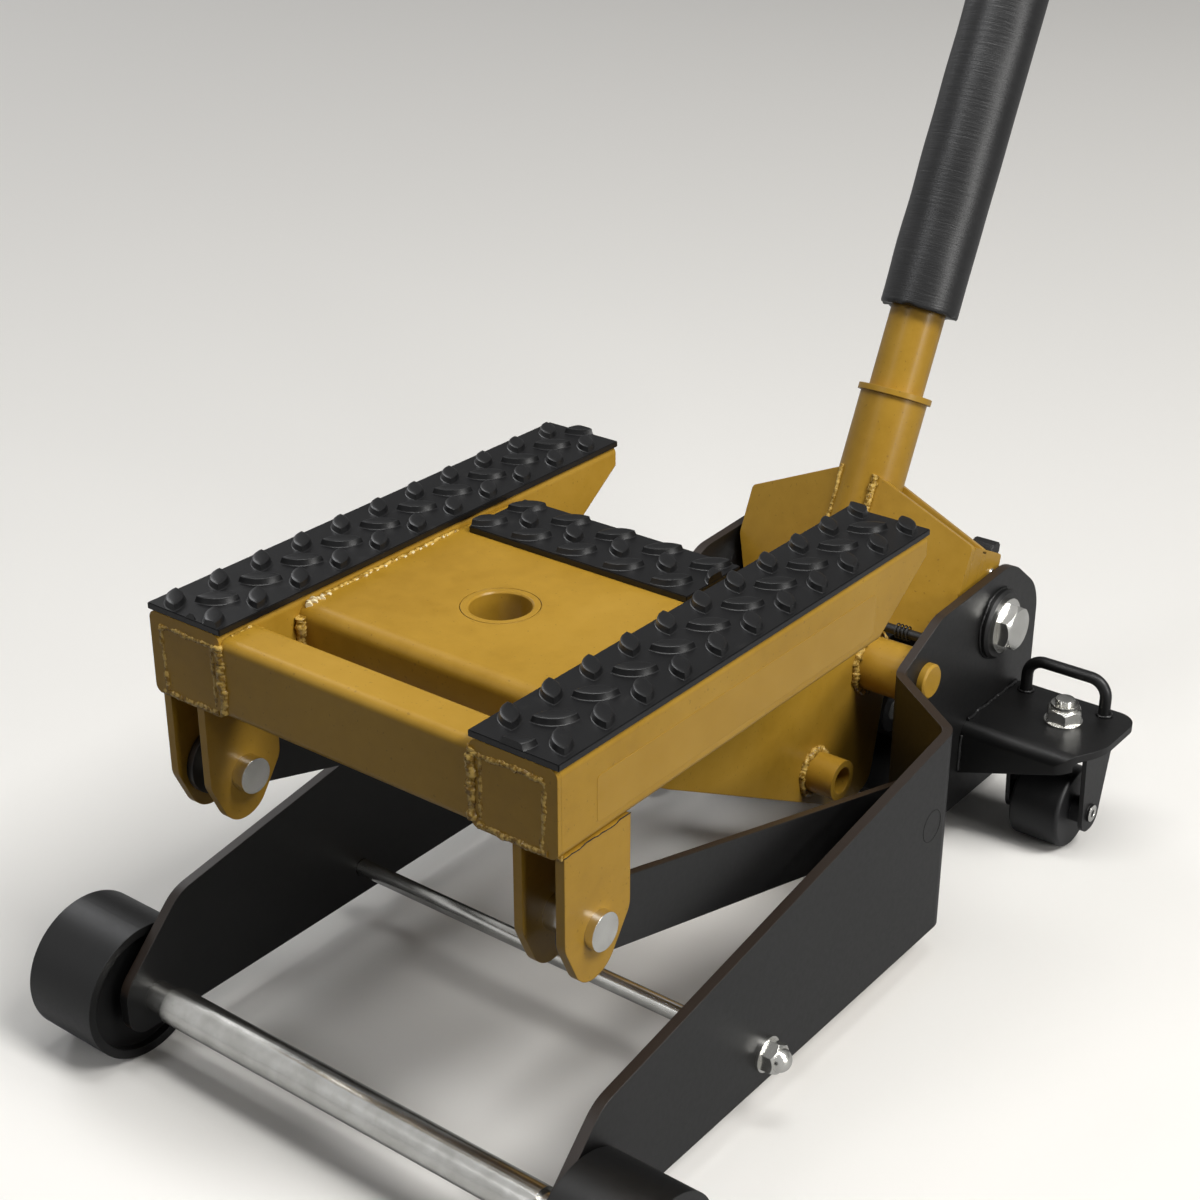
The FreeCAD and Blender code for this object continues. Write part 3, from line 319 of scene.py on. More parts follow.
def spanOnHandle(node):
    # lowest and highest point of a node along the handle and its radius, millimetres
    place = nodes[node].matrix_world
    ups = []
    radii = []
    for vertex in nodes[node].data.vertices:
        out = place @ vertex.co - handleFoot
        up = out.dot(handleUp)
        ups.append(up / mm)
        radii.append((out - handleUp * up).length / mm)
    return min(ups), max(ups), max(radii)


def keep(name, mesh, body, material=None, smooth=True, stands=()):
    # bmesh or mesh to a finished piece that rides on a body
    if isinstance(mesh, bmesh.types.BMesh):
        data = bpy.data.meshes.new(name)
        bmesh.ops.recalc_face_normals(mesh, faces=mesh.faces)
        mesh.to_mesh(data)
        mesh.free()
    else:
        data = mesh
    if material is not None:
        data.materials.clear()
        data.materials.append(material)
    for face in data.polygons:
        face.use_smooth = smooth
    obj = bpy.data.objects.new(name, data)
    scene.collection.objects.link(obj)
    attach(obj, body)
    if stands:
        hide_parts(*stands)
    return obj


def sharpen(obj, degrees=35):
    # smooth shading that breaks at real edges
    mesh = bmesh.new()
    mesh.from_mesh(obj.data)
    for edge in mesh.edges:
        if len(edge.link_faces) == 2 and edge.calc_face_angle(0) > math.radians(degrees):
            edge.smooth = False
    mesh.to_mesh(obj.data)
    mesh.free()


def bridge(mesh, low, high):
    # a band of faces between two closed rings of the same count
    for step in range(len(low)):
        after = (step + 1) % len(low)
        mesh.faces.new((low[step], low[after], high[after], high[step]))


def closeEnds(mesh, rings):
    mesh.faces.new(rings[-1])
    mesh.faces.new(list(reversed(rings[0])))


def joinInto(mesh, other):
    # adds the other bmesh to this one and frees it
    data = bpy.data.meshes.new("joined")
    other.to_mesh(data)
    other.free()
    mesh.from_mesh(data)
    bpy.data.meshes.remove(data)


def lathe(profile, place, steps=48):
    # profile of (radius, height) turned round an axis; place maps (x, y, height) to the jack
    mesh = bmesh.new()
    rings = []
    for radius, height in profile:
        if radius <= 0:
            rings.append([mesh.verts.new(place(0, 0, height))])
            continue
        ring = []
        for step in range(steps):
            turn = 2 * math.pi * step / steps
            ring.append(mesh.verts.new(place(radius * math.cos(turn), radius * math.sin(turn), height)))
        rings.append(ring)
    for low, high in zip(rings, rings[1:]):
        if len(low) == len(high):
            bridge(mesh, low, high)
            continue
        for step in range(steps):
            after = (step + 1) % steps
            if len(low) == 1:
                mesh.faces.new((low[0], high[step], high[after]))
            else:
                mesh.faces.new((low[step], low[after], high[0]))
    return mesh


def alongX(x, y, z, side=1):
    # a lathe's height runs out along X from this point
    return lambda a, b, height: Vector((x + side * height * mm, y + a * mm, z + b * mm))


def upright(x, y, z):
    return lambda a, b, height: Vector((x + a * mm, y + b * mm, z + height * mm))


def nodeTree(name, inputs):
    # empty Geometry Nodes tree with named inputs, and a function that adds its nodes
    tree = bpy.data.node_groups.new(name, "GeometryNodeTree")
    tree.interface.new_socket("Geometry", in_out="INPUT", socket_type="NodeSocketGeometry")
    for label, kind in inputs:
        tree.interface.new_socket(label, in_out="INPUT", socket_type="NodeSocket" + kind)
    tree.interface.new_socket("Geometry", in_out="OUTPUT", socket_type="NodeSocketGeometry")
    enter = tree.nodes.new("NodeGroupInput")

    def add(kind, settings=None, links=None):
        node = tree.nodes.new(kind)
        for key, value in (settings or {}).items():
            setattr(node, key, value)
        for key, value in (links or {}).items():
            if isinstance(value, bpy.types.NodeSocket):
                tree.links.new(value, node.inputs[key])
            else:
                node.inputs[key].default_value = value
        return node

    return tree, enter.outputs, add


def grow(name, base, tree, values):
    # runs a tree on a mesh with these input values and gives the result as a plain mesh
    obj = bpy.data.objects.new(name + "Base", base)
    scene.collection.objects.link(obj)
    modifier = obj.modifiers.new("grow", "NODES")
    modifier.node_group = tree
    for item in tree.interface.items_tree:
        if item.in_out == "INPUT" and item.name in values:
            modifier[item.identifier] = values[item.name]
    graph = bpy.context.evaluated_depsgraph_get()
    graph.update()
    data = bpy.data.meshes.new_from_object(obj.evaluated_get(graph))
    data.name = name
    obj.modifiers.clear()
    bpy.data.objects.remove(obj)
    return data


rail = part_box("platform_rail_right")
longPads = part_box("long_tread_pads")
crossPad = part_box("cross_tread_pad")
# rows: across the pad from its inner edge, first bump from its front end, which way it leans
tread = {
    "length": 26.0, "width": 12.0, "height": 3.8, "slope": 0.7, "root": 0.7, "edge": 0.5,
    "past": 12.0, "sharp": 24,
    "right": [(9.7, -12.1, 1), (30.0, 0.8, -1), (48.2, -16.4, 1)], "rightPitch": 34.8,
    "left": [(11.8, -27.4, -1), (29.6, -8.0, 1), (48.4, -24.0, -1)], "leftPitch": 34.6,
    "cross": [(11.3, -30.4, -1), (29.1, -46.6, 1), (44.3, -24.9, -1)], "crossPitch": 36.4,
}


def bumpShape():
    # a lens-shaped bar with a flat top, lying along X, on a small root fillet
    mesh = bmesh.new()
    high = tread["height"]
    slope = tread["slope"]
    levels = [(-0.4, -tread["root"]), (0.0, -tread["root"]), (0.3, -0.2), (0.8, 0.0), (high - 0.6, slope),
              (high - 0.2, slope + 0.1), (high, slope + 0.4), (high + 0.25, slope + 1.4),
              (high + 0.4, slope + 2.6)]
    rings = []
    steps = 9
    for height, inset in levels:
        half = tread["length"] / 2 - inset * 1.25
        wide = tread["width"] / 2 - inset
        bow = (half * half + wide * wide) / (2 * wide)
        reach = math.asin(half / bow)
        ring = []
        for side in (1, -1):
            for step in range(steps):
                turn = (step / steps * 2 - 1) * reach
                x = bow * math.sin(turn)
                y = bow * math.cos(turn) - (bow - wide)
                ring.append(mesh.verts.new(Vector((-x * side, y * side, height)) * mm))
        rings.append(ring)
    for low, high in zip(rings, rings[1:]):
        bridge(mesh, low, high)
    closeEnds(mesh, rings)
    data = bpy.data.meshes.new("treadBump")
    bmesh.ops.recalc_face_normals(mesh, faces=mesh.faces)
    mesh.to_mesh(data)
    mesh.free()
    obj = bpy.data.objects.new("treadBump", data)
    scene.collection.objects.link(obj)
    return obj


def bumpTree():
    tree, enter, add = nodeTree("treadBumps", [
        ("Bump", "Object"), ("Size", "Float"), ("Rubber", "Material")])
    lean = add("GeometryNodeInputNamedAttribute", {"data_type": "FLOAT"}, {"Name": "lean"})
    turn = add("ShaderNodeCombineXYZ", None, {"Z": lean.outputs["Attribute"]})
    bump = add("GeometryNodeObjectInfo", None, {"Object": enter["Bump"]})
    spread = add("GeometryNodeInstanceOnPoints", None, {
        "Points": enter["Geometry"], "Instance": bump.outputs["Geometry"],
        "Rotation": turn.outputs[0], "Scale": enter["Size"]})
    real = add("GeometryNodeRealizeInstances", None, {"Geometry": spread.outputs[0]})
    dressed = add("GeometryNodeSetMaterial", None, {
        "Geometry": real.outputs[0], "Material": enter["Rubber"]})
    add("NodeGroupOutput", None, {"Geometry": dressed.outputs[0]})
    return tree


def bumpPoints(name, spots):
    data = bpy.data.meshes.new(name)
    data.from_pydata([spot[:3] for spot in spots], [], [])
    lean = data.attributes.new("lean", "FLOAT", "POINT")
    lean.data.foreach_set("value", [spot[3] for spot in spots])
    return data


def trimmed(data, low, high):
    # cuts whatever crosses the pad's edges and closes the cuts
    mesh = bmesh.new()
    mesh.from_mesh(data)
    for point, out in ((low, (-1, 0, 0)), (low, (0, -1, 0)), (high, (1, 0, 0)), (high, (0, 1, 0))):
        everything = mesh.verts[:] + mesh.edges[:] + mesh.faces[:]
        bmesh.ops.bisect_plane(mesh, geom=everything, plane_co=point, plane_no=out, clear_outer=True)
        cuts = [edge for edge in mesh.edges if edge.is_boundary]
        if cuts:
            bmesh.ops.holes_fill(mesh, edges=cuts, sides=0)
    return mesh


def padWithBumps(name, low, high, spots, tree, bump):
    grown = grow(name, bumpPoints(name, spots), tree, {
        "Bump": bump, "Size": 1.0, "Rubber": finishes["pad_rubber"]})
    edge = Vector((0.3, 0.3, 0)) * mm
    mesh = trimmed(grown, Vector(low) + edge, Vector(high) - edge)
    sheet = bmesh.new()
    bmesh.ops.create_cube(sheet, size=1.0)
    middle = (Vector(low) + Vector(high)) / 2
    size = Vector(high) - Vector(low)
    for vertex in sheet.verts:
        vertex.co = Vector((vertex.co.x * size.x, vertex.co.y * size.y, vertex.co.z * size.z)) + middle
    bmesh.ops.bevel(sheet, geom=sheet.edges[:], offset=tread["edge"] * mm, segments=2, affect="EDGES")
    joinInto(mesh, sheet)
    return mesh


def treadSpots(across, along, top, flip, rows, pitch, limit, turned):
    spots = []
    for offset, start, lean in rows:
        step = 0
        while start + step * pitch < limit + tread["past"]:
            first = across + flip * offset * mm
            second = along + (start + step * pitch) * mm
            x, y = (second, first) if turned else (first, second)
            spots.append((x, y, top, lean * math.pi / 4 + math.pi / 2))
            step += 1
    return spots


bump = bumpShape()
bumps = bumpTree()
top = longPads[1].z
padLength = (longPads[1].y - longPads[0].y) / mm
inner = rail[0].x - (longPads[1].x - rail[1].x)
spots = treadSpots(inner, longPads[0].y, top, 1, tread["right"], tread["rightPitch"], padLength, False)
pads = padWithBumps("longTreadPads", (inner, longPads[0].y, longPads[0].z), longPads[1], spots, bumps, bump)
spots = treadSpots(-inner, longPads[0].y, top, -1, [(a, b, -c) for a, b, c in tread["left"]],
                   tread["leftPitch"], padLength, False)
leftPad = padWithBumps("leftTreadPad", longPads[0], (-inner, longPads[1].y, top), spots, bumps, bump)
joinInto(pads, leftPad)
sharpen(keep("longTreadPads", pads, "platform", finishes["pad_rubber"],
             stands=("long_tread_pads",)), tread["sharp"])
padWidth = (crossPad[1].x - crossPad[0].x) / mm
spots = treadSpots(crossPad[0].y, crossPad[0].x, crossPad[1].z, 1, tread["cross"], tread["crossPitch"],
                   padWidth, True)
pads = padWithBumps("crossTreadPad", crossPad[0], crossPad[1], spots, bumps, bump)
sharpen(keep("crossTreadPad", pads, "platform", finishes["pad_rubber"],
             stands=("cross_tread_pad",)), tread["sharp"])
bpy.data.objects.remove(bump)
print("tread pads made")


weld = {"step": 0.9, "ripple": 0.12, "lump": 1.2, "wander": 2.0, "pitch": 2.8, "legInset": 13.0}


def beadTree():
    tree, enter, add = nodeTree("weldBead", [
        ("Step", "Float"), ("Ripple", "Float"), ("Lump", "Float"), ("Wander", "Float"),
        ("Pitch", "Float"), ("Seed", "Float"), ("Paint", "Material")])
    line = add("GeometryNodeMeshToCurve", None, {"Mesh": enter["Geometry"]})
    fine = add("GeometryNodeResampleCurve", {"mode": "LENGTH"}, {
        "Curve": line.outputs[0], "Length": enter["Step"]})
    size = add("GeometryNodeInputNamedAttribute", {"data_type": "FLOAT"}, {"Name": "size"})
    length = add("GeometryNodeSplineParameter")
    turns = add("ShaderNodeMath", {"operation": "DIVIDE"}, {0: length.outputs["Length"], 1: enter["Pitch"]})
    circle = add("ShaderNodeMath", {"operation": "MULTIPLY"}, {0: turns.outputs[0], 1: 2 * math.pi})
    wave = add("ShaderNodeMath", {"operation": "SINE"}, {0: circle.outputs[0]})
    wave = add("ShaderNodeMath", {"operation": "MULTIPLY_ADD"}, {
        0: wave.outputs[0], 1: enter["Ripple"], 2: 1.0})
    noise = add("ShaderNodeTexNoise", {"noise_dimensions": "4D"}, {
        "W": enter["Seed"], "Scale": 330.0, "Detail": 3.0})
    lump = add("ShaderNodeMath", {"operation": "MULTIPLY_ADD"}, {
        0: noise.outputs["Fac"], 1: enter["Lump"], 2: 0.4})
    rough = add("ShaderNodeMath", {"operation": "MULTIPLY"}, {0: wave.outputs[0], 1: lump.outputs[0]})
    radius = add("ShaderNodeMath", {"operation": "MULTIPLY"}, {
        0: rough.outputs[0], 1: size.outputs["Attribute"]})
    shift = add("ShaderNodeTexNoise", {"noise_dimensions": "4D"}, {
        "W": enter["Seed"], "Scale": 130.0, "Detail": 2.0})
    middle = add("ShaderNodeVectorMath", {"operation": "SUBTRACT"}, {
        0: shift.outputs["Color"], 1: (0.5, 0.5, 0.5)})
    reach = add("ShaderNodeMath", {"operation": "MULTIPLY"}, {
        0: size.outputs["Attribute"], 1: enter["Wander"]})
    offset = add("ShaderNodeVectorMath", {"operation": "SCALE"}, {
        0: middle.outputs[0], "Scale": reach.outputs[0]})
    moved = add("GeometryNodeSetPosition", None, {"Geometry": fine.outputs[0], "Offset": offset.outputs[0]})
    ring = add("GeometryNodeCurvePrimitiveCircle", None, {"Resolution": 10, "Radius": 1.0})
    tube = add("GeometryNodeCurveToMesh", None, {
        "Curve": moved.outputs[0], "Profile Curve": ring.outputs["Curve"], "Scale": radius.outputs[0],
        "Fill Caps": True})
    real = add("GeometryNodeRealizeInstances", None, {"Geometry": tube.outputs[0]})
    dressed = add("GeometryNodeSetMaterial", None, {
        "Geometry": real.outputs[0], "Material": enter["Paint"]})
    add("NodeGroupOutput", None, {"Geometry": dressed.outputs[0]})
    return tree


def beadPath(name, runs):
    # runs of ([points], radius in millimetres, closed)
    points = []
    edges = []
    sizes = []
    for path, radius, closed in runs:
        first = len(points)
        points += [tuple(point) for point in path]
        edges += [(first + k, first + k + 1) for k in range(len(path) - 1)]
        if closed:
            edges.append((first + len(path) - 1, first))
        sizes += [radius * mm] * len(path)
    data = bpy.data.meshes.new(name)
    data.from_pydata(points, edges, [])
    data.attributes.new("size", "FLOAT", "POINT").data.foreach_set("value", sizes)
    return data


beads = beadTree()


def weldOn(name, body, runs, material, seed, calm=1.0):
    data = grow(name, beadPath(name, runs), beads, {
        "Step": weld["step"] * mm, "Ripple": weld["ripple"] * calm, "Lump": weld["lump"] * calm,
        "Wander": weld["wander"] * calm, "Pitch": weld["pitch"] * mm, "Seed": seed, "Paint": material})
    return keep(name, data, body, material)


def both(path, radius, closed=False):
    # the run and its mirror image on the other side of the jack
    return [(path, radius, closed), ([Vector((-p[0], p[1], p[2])) for p in path], radius, closed)]


def ringX(x, y, z, radius, count=40):
    turns = [2 * math.pi * k / count for k in range(count)]
    return [Vector((x, y + radius * mm * math.cos(t), z + radius * mm * math.sin(t))) for t in turns]


def ringZ(x, y, z, radius, count=24):
    turns = [2 * math.pi * k / count for k in range(count)]
    return [Vector((x + radius * mm * math.cos(t), y + radius * mm * math.sin(t), z)) for t in turns]


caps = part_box("rail_front_caps")
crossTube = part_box("platform_cross_tube")
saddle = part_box("saddle_plate")
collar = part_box("adapter_collar")
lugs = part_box("rail_lugs")
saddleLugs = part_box("saddle_lugs")


def platformWelds():
    # x0, x1: a rail's inner and outer face; z0, z1: its underside and top
    x0, x1 = rail[0].x, rail[1].x
    z0, z1 = rail[0].z, rail[1].z
    front = caps[0].y + 0.9 * mm
    rear = crossTube[1].y
    runs = []
    # round each front cap: top, outer upright, bottom, then the two inner uprights
    runs += both([(x0 + 3 * mm, front, z1 - 9 * mm), (x0 + 30 * mm, front, z1 - 8 * mm),
                  (x1 - 9 * mm, front, z1 - 8.5 * mm)], 1.9)
    runs += both([(x1 - 9 * mm, front, z1 - 9 * mm), (x1 - 9.5 * mm, front, z1 - 30 * mm),
                  (x1 - 11 * mm, front, z0 + 4 * mm)], 1.8)
    runs += both([(x0 + 5 * mm, front, z0 + 2.6 * mm), (x1 - 7 * mm, front, z0 + 2.0 * mm)], 2.1)
    runs += both([(x0 + 1.0 * mm, front, z1 - 6 * mm), (x0 + 0.4 * mm, front, z0 + 3 * mm)], 3.2)
    runs += both([(x0 + 7 * mm, front, z1 - 10 * mm), (x0 + 6.5 * mm, front, z0 + 6 * mm)], 1.6)
    # cross tube to rails
    runs += both([(x0 - 0.5 * mm, rear, z1 - 7 * mm), (x0 - 0.5 * mm, rear, z0 + 3 * mm)], 2.2)
    runs += both([(x0 - 0.5 * mm, front + 8 * mm, crossTube[1].z - 0.6 * mm),
                  (x0 - 0.5 * mm, rear - 7 * mm, crossTube[1].z - 0.6 * mm)], 1.3)
    # saddle plate along the rails and down its front corners
    high = saddle[1].z
    near = saddle[0].y
    runs += both([(x0 - 1 * mm, near + 20 * mm, high - 0.2 * mm),
                  (x0 - 1 * mm, crossPad[0].y - 2 * mm, high - 0.4 * mm)], 1.4)
    runs += both([(x0 - 2.5 * mm, near - 1 * mm, high - 6 * mm),
                  (x0 - 2 * mm, near - 0.5 * mm, high - 27 * mm)], 3.4)
    runs += [(ringZ(0, (collar[0].y + collar[1].y) / 2, high - 6.5 * mm, 25.0), 2.2, True)]
    # lugs under the rails and under the saddle plate
    under = rail[0].z - 0.4 * mm
    for x in (lugs[1].x - 6 * mm, lugs[1].x - 29 * mm, lugs[1].x - 35 * mm):
        runs += both([(x, lugs[0].y + 2 * mm, under), (x, lugs[1].y - 2 * mm, under)], 1.8)
    for x in (lugs[1].x - 3 * mm, lugs[1].x - 32 * mm):
        runs += both([(x - 2.5 * mm, lugs[0].y - 0.3 * mm, under),
                      (x + 2.5 * mm, lugs[0].y - 0.3 * mm, under)], 1.8)
    for x in (saddleLugs[1].x, saddleLugs[1].x - 8 * mm):
        runs += both([(x, saddleLugs[0].y + 2 * mm, saddleLugs[1].z - 0.6 * mm),
                      (x, saddleLugs[1].y - 2 * mm, saddleLugs[1].z - 0.6 * mm)], 2.0)
    return runs


def cornerSpatter():
    # pale lumps where the saddle plate's weld starts, and pale flecks along the rest of it: painted highlights on
    # the weld
    places = random.Random(21)
    x = rail[0].x - 1.5 * mm
    start = saddle[0].y + 5 * mm
    runs = []
    for k in range(9):
        spot = Vector((x + places.uniform(-3.5, 1.0) * mm, start + k * 2.1 * mm, saddle[1].z - 0.6 * mm))
        runs += both([spot, spot + Vector((0.8, 1.6, 0.3)) * mm], places.uniform(1.5, 2.9))
    y = start + 22 * mm
    while y < crossPad[0].y - 8 * mm:
        spot = Vector((x + places.uniform(-2.0, 0.5) * mm, y, saddle[1].z - 0.1 * mm))
        runs += both([spot, spot + Vector((0.5, 2.4, 0.1)) * mm], places.uniform(0.5, 1.0))
        y += places.uniform(3.0, 8.0) * mm
    return runs


armHub = joints["lift_arm_pivot"]["pos_m"]
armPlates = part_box("arm_side_plates")
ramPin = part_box("ram_pin")
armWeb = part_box("arm_web")


def armWelds():
    x = armPlates[1].x + 0.6 * mm
    boss = ((ramPin[0].y + ramPin[1].y) / 2, (ramPin[0].z + ramPin[1].z) / 2)
    runs = both(ringX(x, boss[0], boss[1], 16.2), 2.8, True)
    runs += both(ringX(x, armHub[1], armHub[2], 21.2), 3.0, True)
    inside = armPlates[1].x - 8.6 * mm
    runs += both([(inside, armWeb[0].y + 4 * mm, armWeb[1].z - 1 * mm),
                  (inside, armWeb[1].y - 2 * mm, armWeb[0].z + 10 * mm)], 1.6)
    return runs


def yokeWelds():
    runs = []
    for side, size in ((1, 2.6), (-1, 1.5)):
        runs.append(([onHandle(side * 14.5, -21.6, up) for up in (33, 20, 0, -20, -38)], size, False))
        runs.append(([onHandle(side * 20.5, 15.6, up) for up in (24, 10, -10, -30)], 2.0, False))
    foot = [onHandle(25.6 * math.cos(t), 25.6 * math.sin(t), -38) for t in
            [math.pi * (0.12 + 0.76 * k / 16) for k in range(17)]]
    runs.append((foot, 1.6, False))
    return runs


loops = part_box("carry_loops")
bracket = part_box("caster_bracket_right")
pivot = joints["handle_pivot"]["pos_m"]
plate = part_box("side_plate_right")


def chassisWelds():
    loopY = (loops[0].y + loops[1].y) / 2
    base = bracket[1].z
    bar = (loops[1].y - loops[0].y) / 2 / mm
    nearLeg = bracket[0].x + weld["legInset"] * mm
    farLeg = loops[1].x - bar * mm
    runs = []
    for x in (nearLeg, farLeg):
        runs += both(ringZ(x, loopY, base + 0.7 * mm, bar + 0.7), 1.5, True)
    edge = bracket[0].x + 0.4 * mm
    runs += both([(edge, bracket[0].y + 8 * mm, base + 0.2 * mm),
                  (edge, bracket[1].y - 2 * mm, base + 0.2 * mm)], 2.2)
    runs += both([(edge, bracket[0].y - 0.3 * mm, base - 9 * mm),
                  (edge, bracket[0].y - 0.3 * mm, 58 * mm)], 1.9)
    runs += both(ringX(edge, pivot[1], pivot[2], 27.2), 1.3, True)
    return runs


goldWeld = goldPaint("goldEnamelOnWeld", 0.20, True)
# whitish paint for the painted highlights on the saddle plate's weld
glintPaint = rubber("weldGlintPaint", (214, 196, 150), (236, 224, 190), 0.24)
blackWeld = blackPaint("blackOnWeld", False, 0.24)
weldOn("platformWelds", "platform", platformWelds(), goldWeld, 3.1)
weldOn("cornerSpatter", "platform", cornerSpatter(), glintPaint, 6.4)
weldOn("armWelds", "lift_arm", armWelds(), goldWeld, 5.7)
weldOn("yokeWelds", "yoke", yokeWelds(), goldWeld, 8.3)
weldOn("chassisWelds", "chassis", chassisWelds(), blackWeld, 2.2, 0.7)
print("weld beads made")


def seams():
    # the dark open seam between each rail and its outer lug
    x = rail[1].x + 0.05 * mm
    z = rail[0].z
    run = []
    places = random.Random(4)
    for k in range(19):
        y = lugs[0].y + (lugs[1].y - lugs[0].y) * k / 18
        run.append(Vector((x, y, z + places.uniform(-0.7, 0.7) * mm)))
    weldOn("lugSeams", "platform", both(run, 0.42), seamShade, 1.4, 0.6)
    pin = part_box("link_pivot_pins")
    y = (pin[0].y + pin[1].y) / 2
    z = (pin[0].z + pin[1].z) / 2
    ring = ringX(plate[1].x + 0.02 * mm, y, z, 11.5, 56)
    weldOn("linkPinSeams", "chassis", both(ring, 0.38, True), seamShade, 1.9, 0.3)


seamShade = blackPaint("seamShade", False, 0.6)
seams()

film = {"front": 32.7, "length": 279.0, "low": 7.8, "height": 28.6, "corner": 3.0, "thick": 0.16}


def stickerFilm():
    # blank film on the right rail's outer face, at a label's size and place
    corner = Vector((rail[1].x, caps[0].y + film["front"] * mm, rail[0].z + film["low"] * mm))
    mesh = bmesh.new()
    rings = []
    for x, inset in ((0.02, 0.0), (film["thick"], 0.0), (film["thick"] + 0.03, 0.12)):
        ring = []
        for cy, cz, first in ((1, 1, 0), (0, 1, 1), (0, 0, 2), (1, 0, 3)):
            for step in range(5):
                turn = (first + step / 4) * math.pi / 2
                reach = film["corner"] - inset
                y = (film["length"] - film["corner"] if cy else film["corner"]) + reach * math.cos(turn)
                z = (film["height"] - film["corner"] if cz else film["corner"]) + reach * math.sin(turn)
                ring.append(mesh.verts.new(corner + Vector((x, y, z)) * mm))
        rings.append(ring)
    for low, high in zip(rings, rings[1:]):
        bridge(mesh, low, high)
    closeEnds(mesh, rings)
    keep("stickerFilm", mesh, "platform", filmFinish(), smooth=False)


stickerFilm()
print("seams and film made")


# crush: how far the skin wanders in; fray: ragged lower end, fading out over frayLength
foam = {"steps": 96, "rings": 200, "waves": 14, "crush": 0.9, "fray": 1.6, "frayLength": 6.0, "edge": 0.8}


def foamSleeve():
    low, high, radius = spanOnHandle("foam_sleeve")
    tubeRadius = spanOnHandle("handle_tube")[2]
    places = random.Random(11)
    waves = [(places.uniform(0.02, 0.11), places.uniform(0, 6.28), places.uniform(0.2, 1.0),
              places.randint(1, 4), places.uniform(0, 6.28)) for k in range(foam["waves"])]
    mesh = bmesh.new()

    def reach(turn, up):
        soft = 0.0
        for rate, phase, amount, lobes, tilt in waves:
            soft += amount * math.sin(up * rate + phase + 1.3 * math.sin(lobes * turn + tilt))
        end = min(up - low, high - up)
        rounding = foam["edge"] * max(0.0, 1 - end / foam["edge"]) ** 2
        return radius - foam["crush"] * (0.5 - soft / foam["waves"]) - rounding

    rings = []
    for k in range(foam["rings"] + 1):
        part = k / foam["rings"]
        up = low + (high - low) * part
        ring = []
        for step in range(foam["steps"]):
            turn = 2 * math.pi * step / foam["steps"]
            fade = max(0, 1 - (up - low) / foam["frayLength"])
            ragged = foam["fray"] * math.sin(9 * turn + 2 * math.sin(4 * turn)) * fade
            r = reach(turn, up)
            ring.append(mesh.verts.new(onHandle(r * math.cos(turn), r * math.sin(turn), up + ragged * 0.5)))
        rings.append(ring)
    for end, up in ((0, low + 0.3), (-1, high - 0.3)):
        ring = []
        for step in range(foam["steps"]):
            turn = 2 * math.pi * step / foam["steps"]
            side, back = tubeRadius * math.cos(turn), tubeRadius * math.sin(turn)
            ring.append(mesh.verts.new(onHandle(side, back, up)))
        rings.insert(0 if end == 0 else len(rings), ring)
    rings.append(rings[0])
    for near, far in zip(rings, rings[1:]):
        bridge(mesh, near, far)
    obj = keep("foamSleeve", mesh, "handle", finishes["foam_rubber"],
               stands=("foam_sleeve",))


foamSleeve()

grip = {"ribs": 30, "rib": 1.1, "collar": 3.0}


def gripRibTree():
    tree, enter, add = nodeTree("gripRibs", [
        ("Count", "Int"), ("Radius", "Float"), ("Pitch", "Float"), ("Rib", "Float"),
        ("Rubber", "Material")])
    line = add("GeometryNodeMeshLine", {"mode": "OFFSET"}, {"Count": enter["Count"]})
    rise = add("ShaderNodeCombineXYZ", None, {"Z": enter["Pitch"]})
    tree.links.new(rise.outputs[0], line.inputs["Offset"])
    ring = add("GeometryNodeCurvePrimitiveCircle", None, {"Resolution": 56, "Radius": enter["Radius"]})
    bead = add("GeometryNodeCurvePrimitiveCircle", None, {"Resolution": 8, "Radius": enter["Rib"]})
    hoop = add("GeometryNodeCurveToMesh", None, {
        "Curve": ring.outputs["Curve"], "Profile Curve": bead.outputs["Curve"]})
    stack = add("GeometryNodeInstanceOnPoints", None, {
        "Points": line.outputs[0], "Instance": hoop.outputs[0]})
    real = add("GeometryNodeRealizeInstances", None, {"Geometry": stack.outputs[0]})
    dressed = add("GeometryNodeSetMaterial", None, {
        "Geometry": real.outputs[0], "Material": enter["Rubber"]})
    add("NodeGroupOutput", None, {"Geometry": dressed.outputs[0]})
    return tree


def handGrip():
    low, high, radius = spanOnHandle("hand_grip")
    tubeRadius = spanOnHandle("handle_tube")[2]
    core = radius - grip["rib"]
    rise = low + grip["collar"]
    profile = [(tubeRadius + 0.05, low), (radius - 0.8, low), (radius, low + 0.8), (radius, rise),
               (core, rise + 1.2), (core, high - 6), (radius - 0.3, high - 4.5),
               (radius - 0.3, high - 2), (radius - 2.2, high - 0.3), (radius - 5, high), (0, high)]
    body = lathe(profile, onHandle, 56)
    pitch = (high - low - 18) / grip["ribs"]
    ribs = grow("gripRibs", bpy.data.meshes.new("gripStart"), gripRibTree(), {
        "Count": grip["ribs"], "Radius": core * mm, "Pitch": pitch * mm, "Rib": grip["rib"] * 0.9 * mm,
        "Rubber": finishes["grip_rubber"]})
    place = Matrix((Vector((1, 0, 0)), handleBack, handleUp)).transposed().to_4x4()
    place.translation = onHandle(0, 0, low + grip["collar"] + 4)
    ribs.transform(place)
    body.from_mesh(ribs)
    obj = keep("handGrip", body, "handle", finishes["grip_rubber"],
               stands=("hand_grip",))
    sharpen(obj, 40)


handGrip()
print("foam sleeve and hand grip made")


# screw: radius and height; catch: its outline as (back, up) and its two sides, on the handle
fitting = {"screw": (4.2, 2.2), "screwBack": 2.0, "screwUp": 37.0, "catchInner": 70.0, "catchOuter": 88.2,
           "catch": [(48, -8), (50, 4), (54, 8), (62, 8), (64, 2), (61, -8)]}


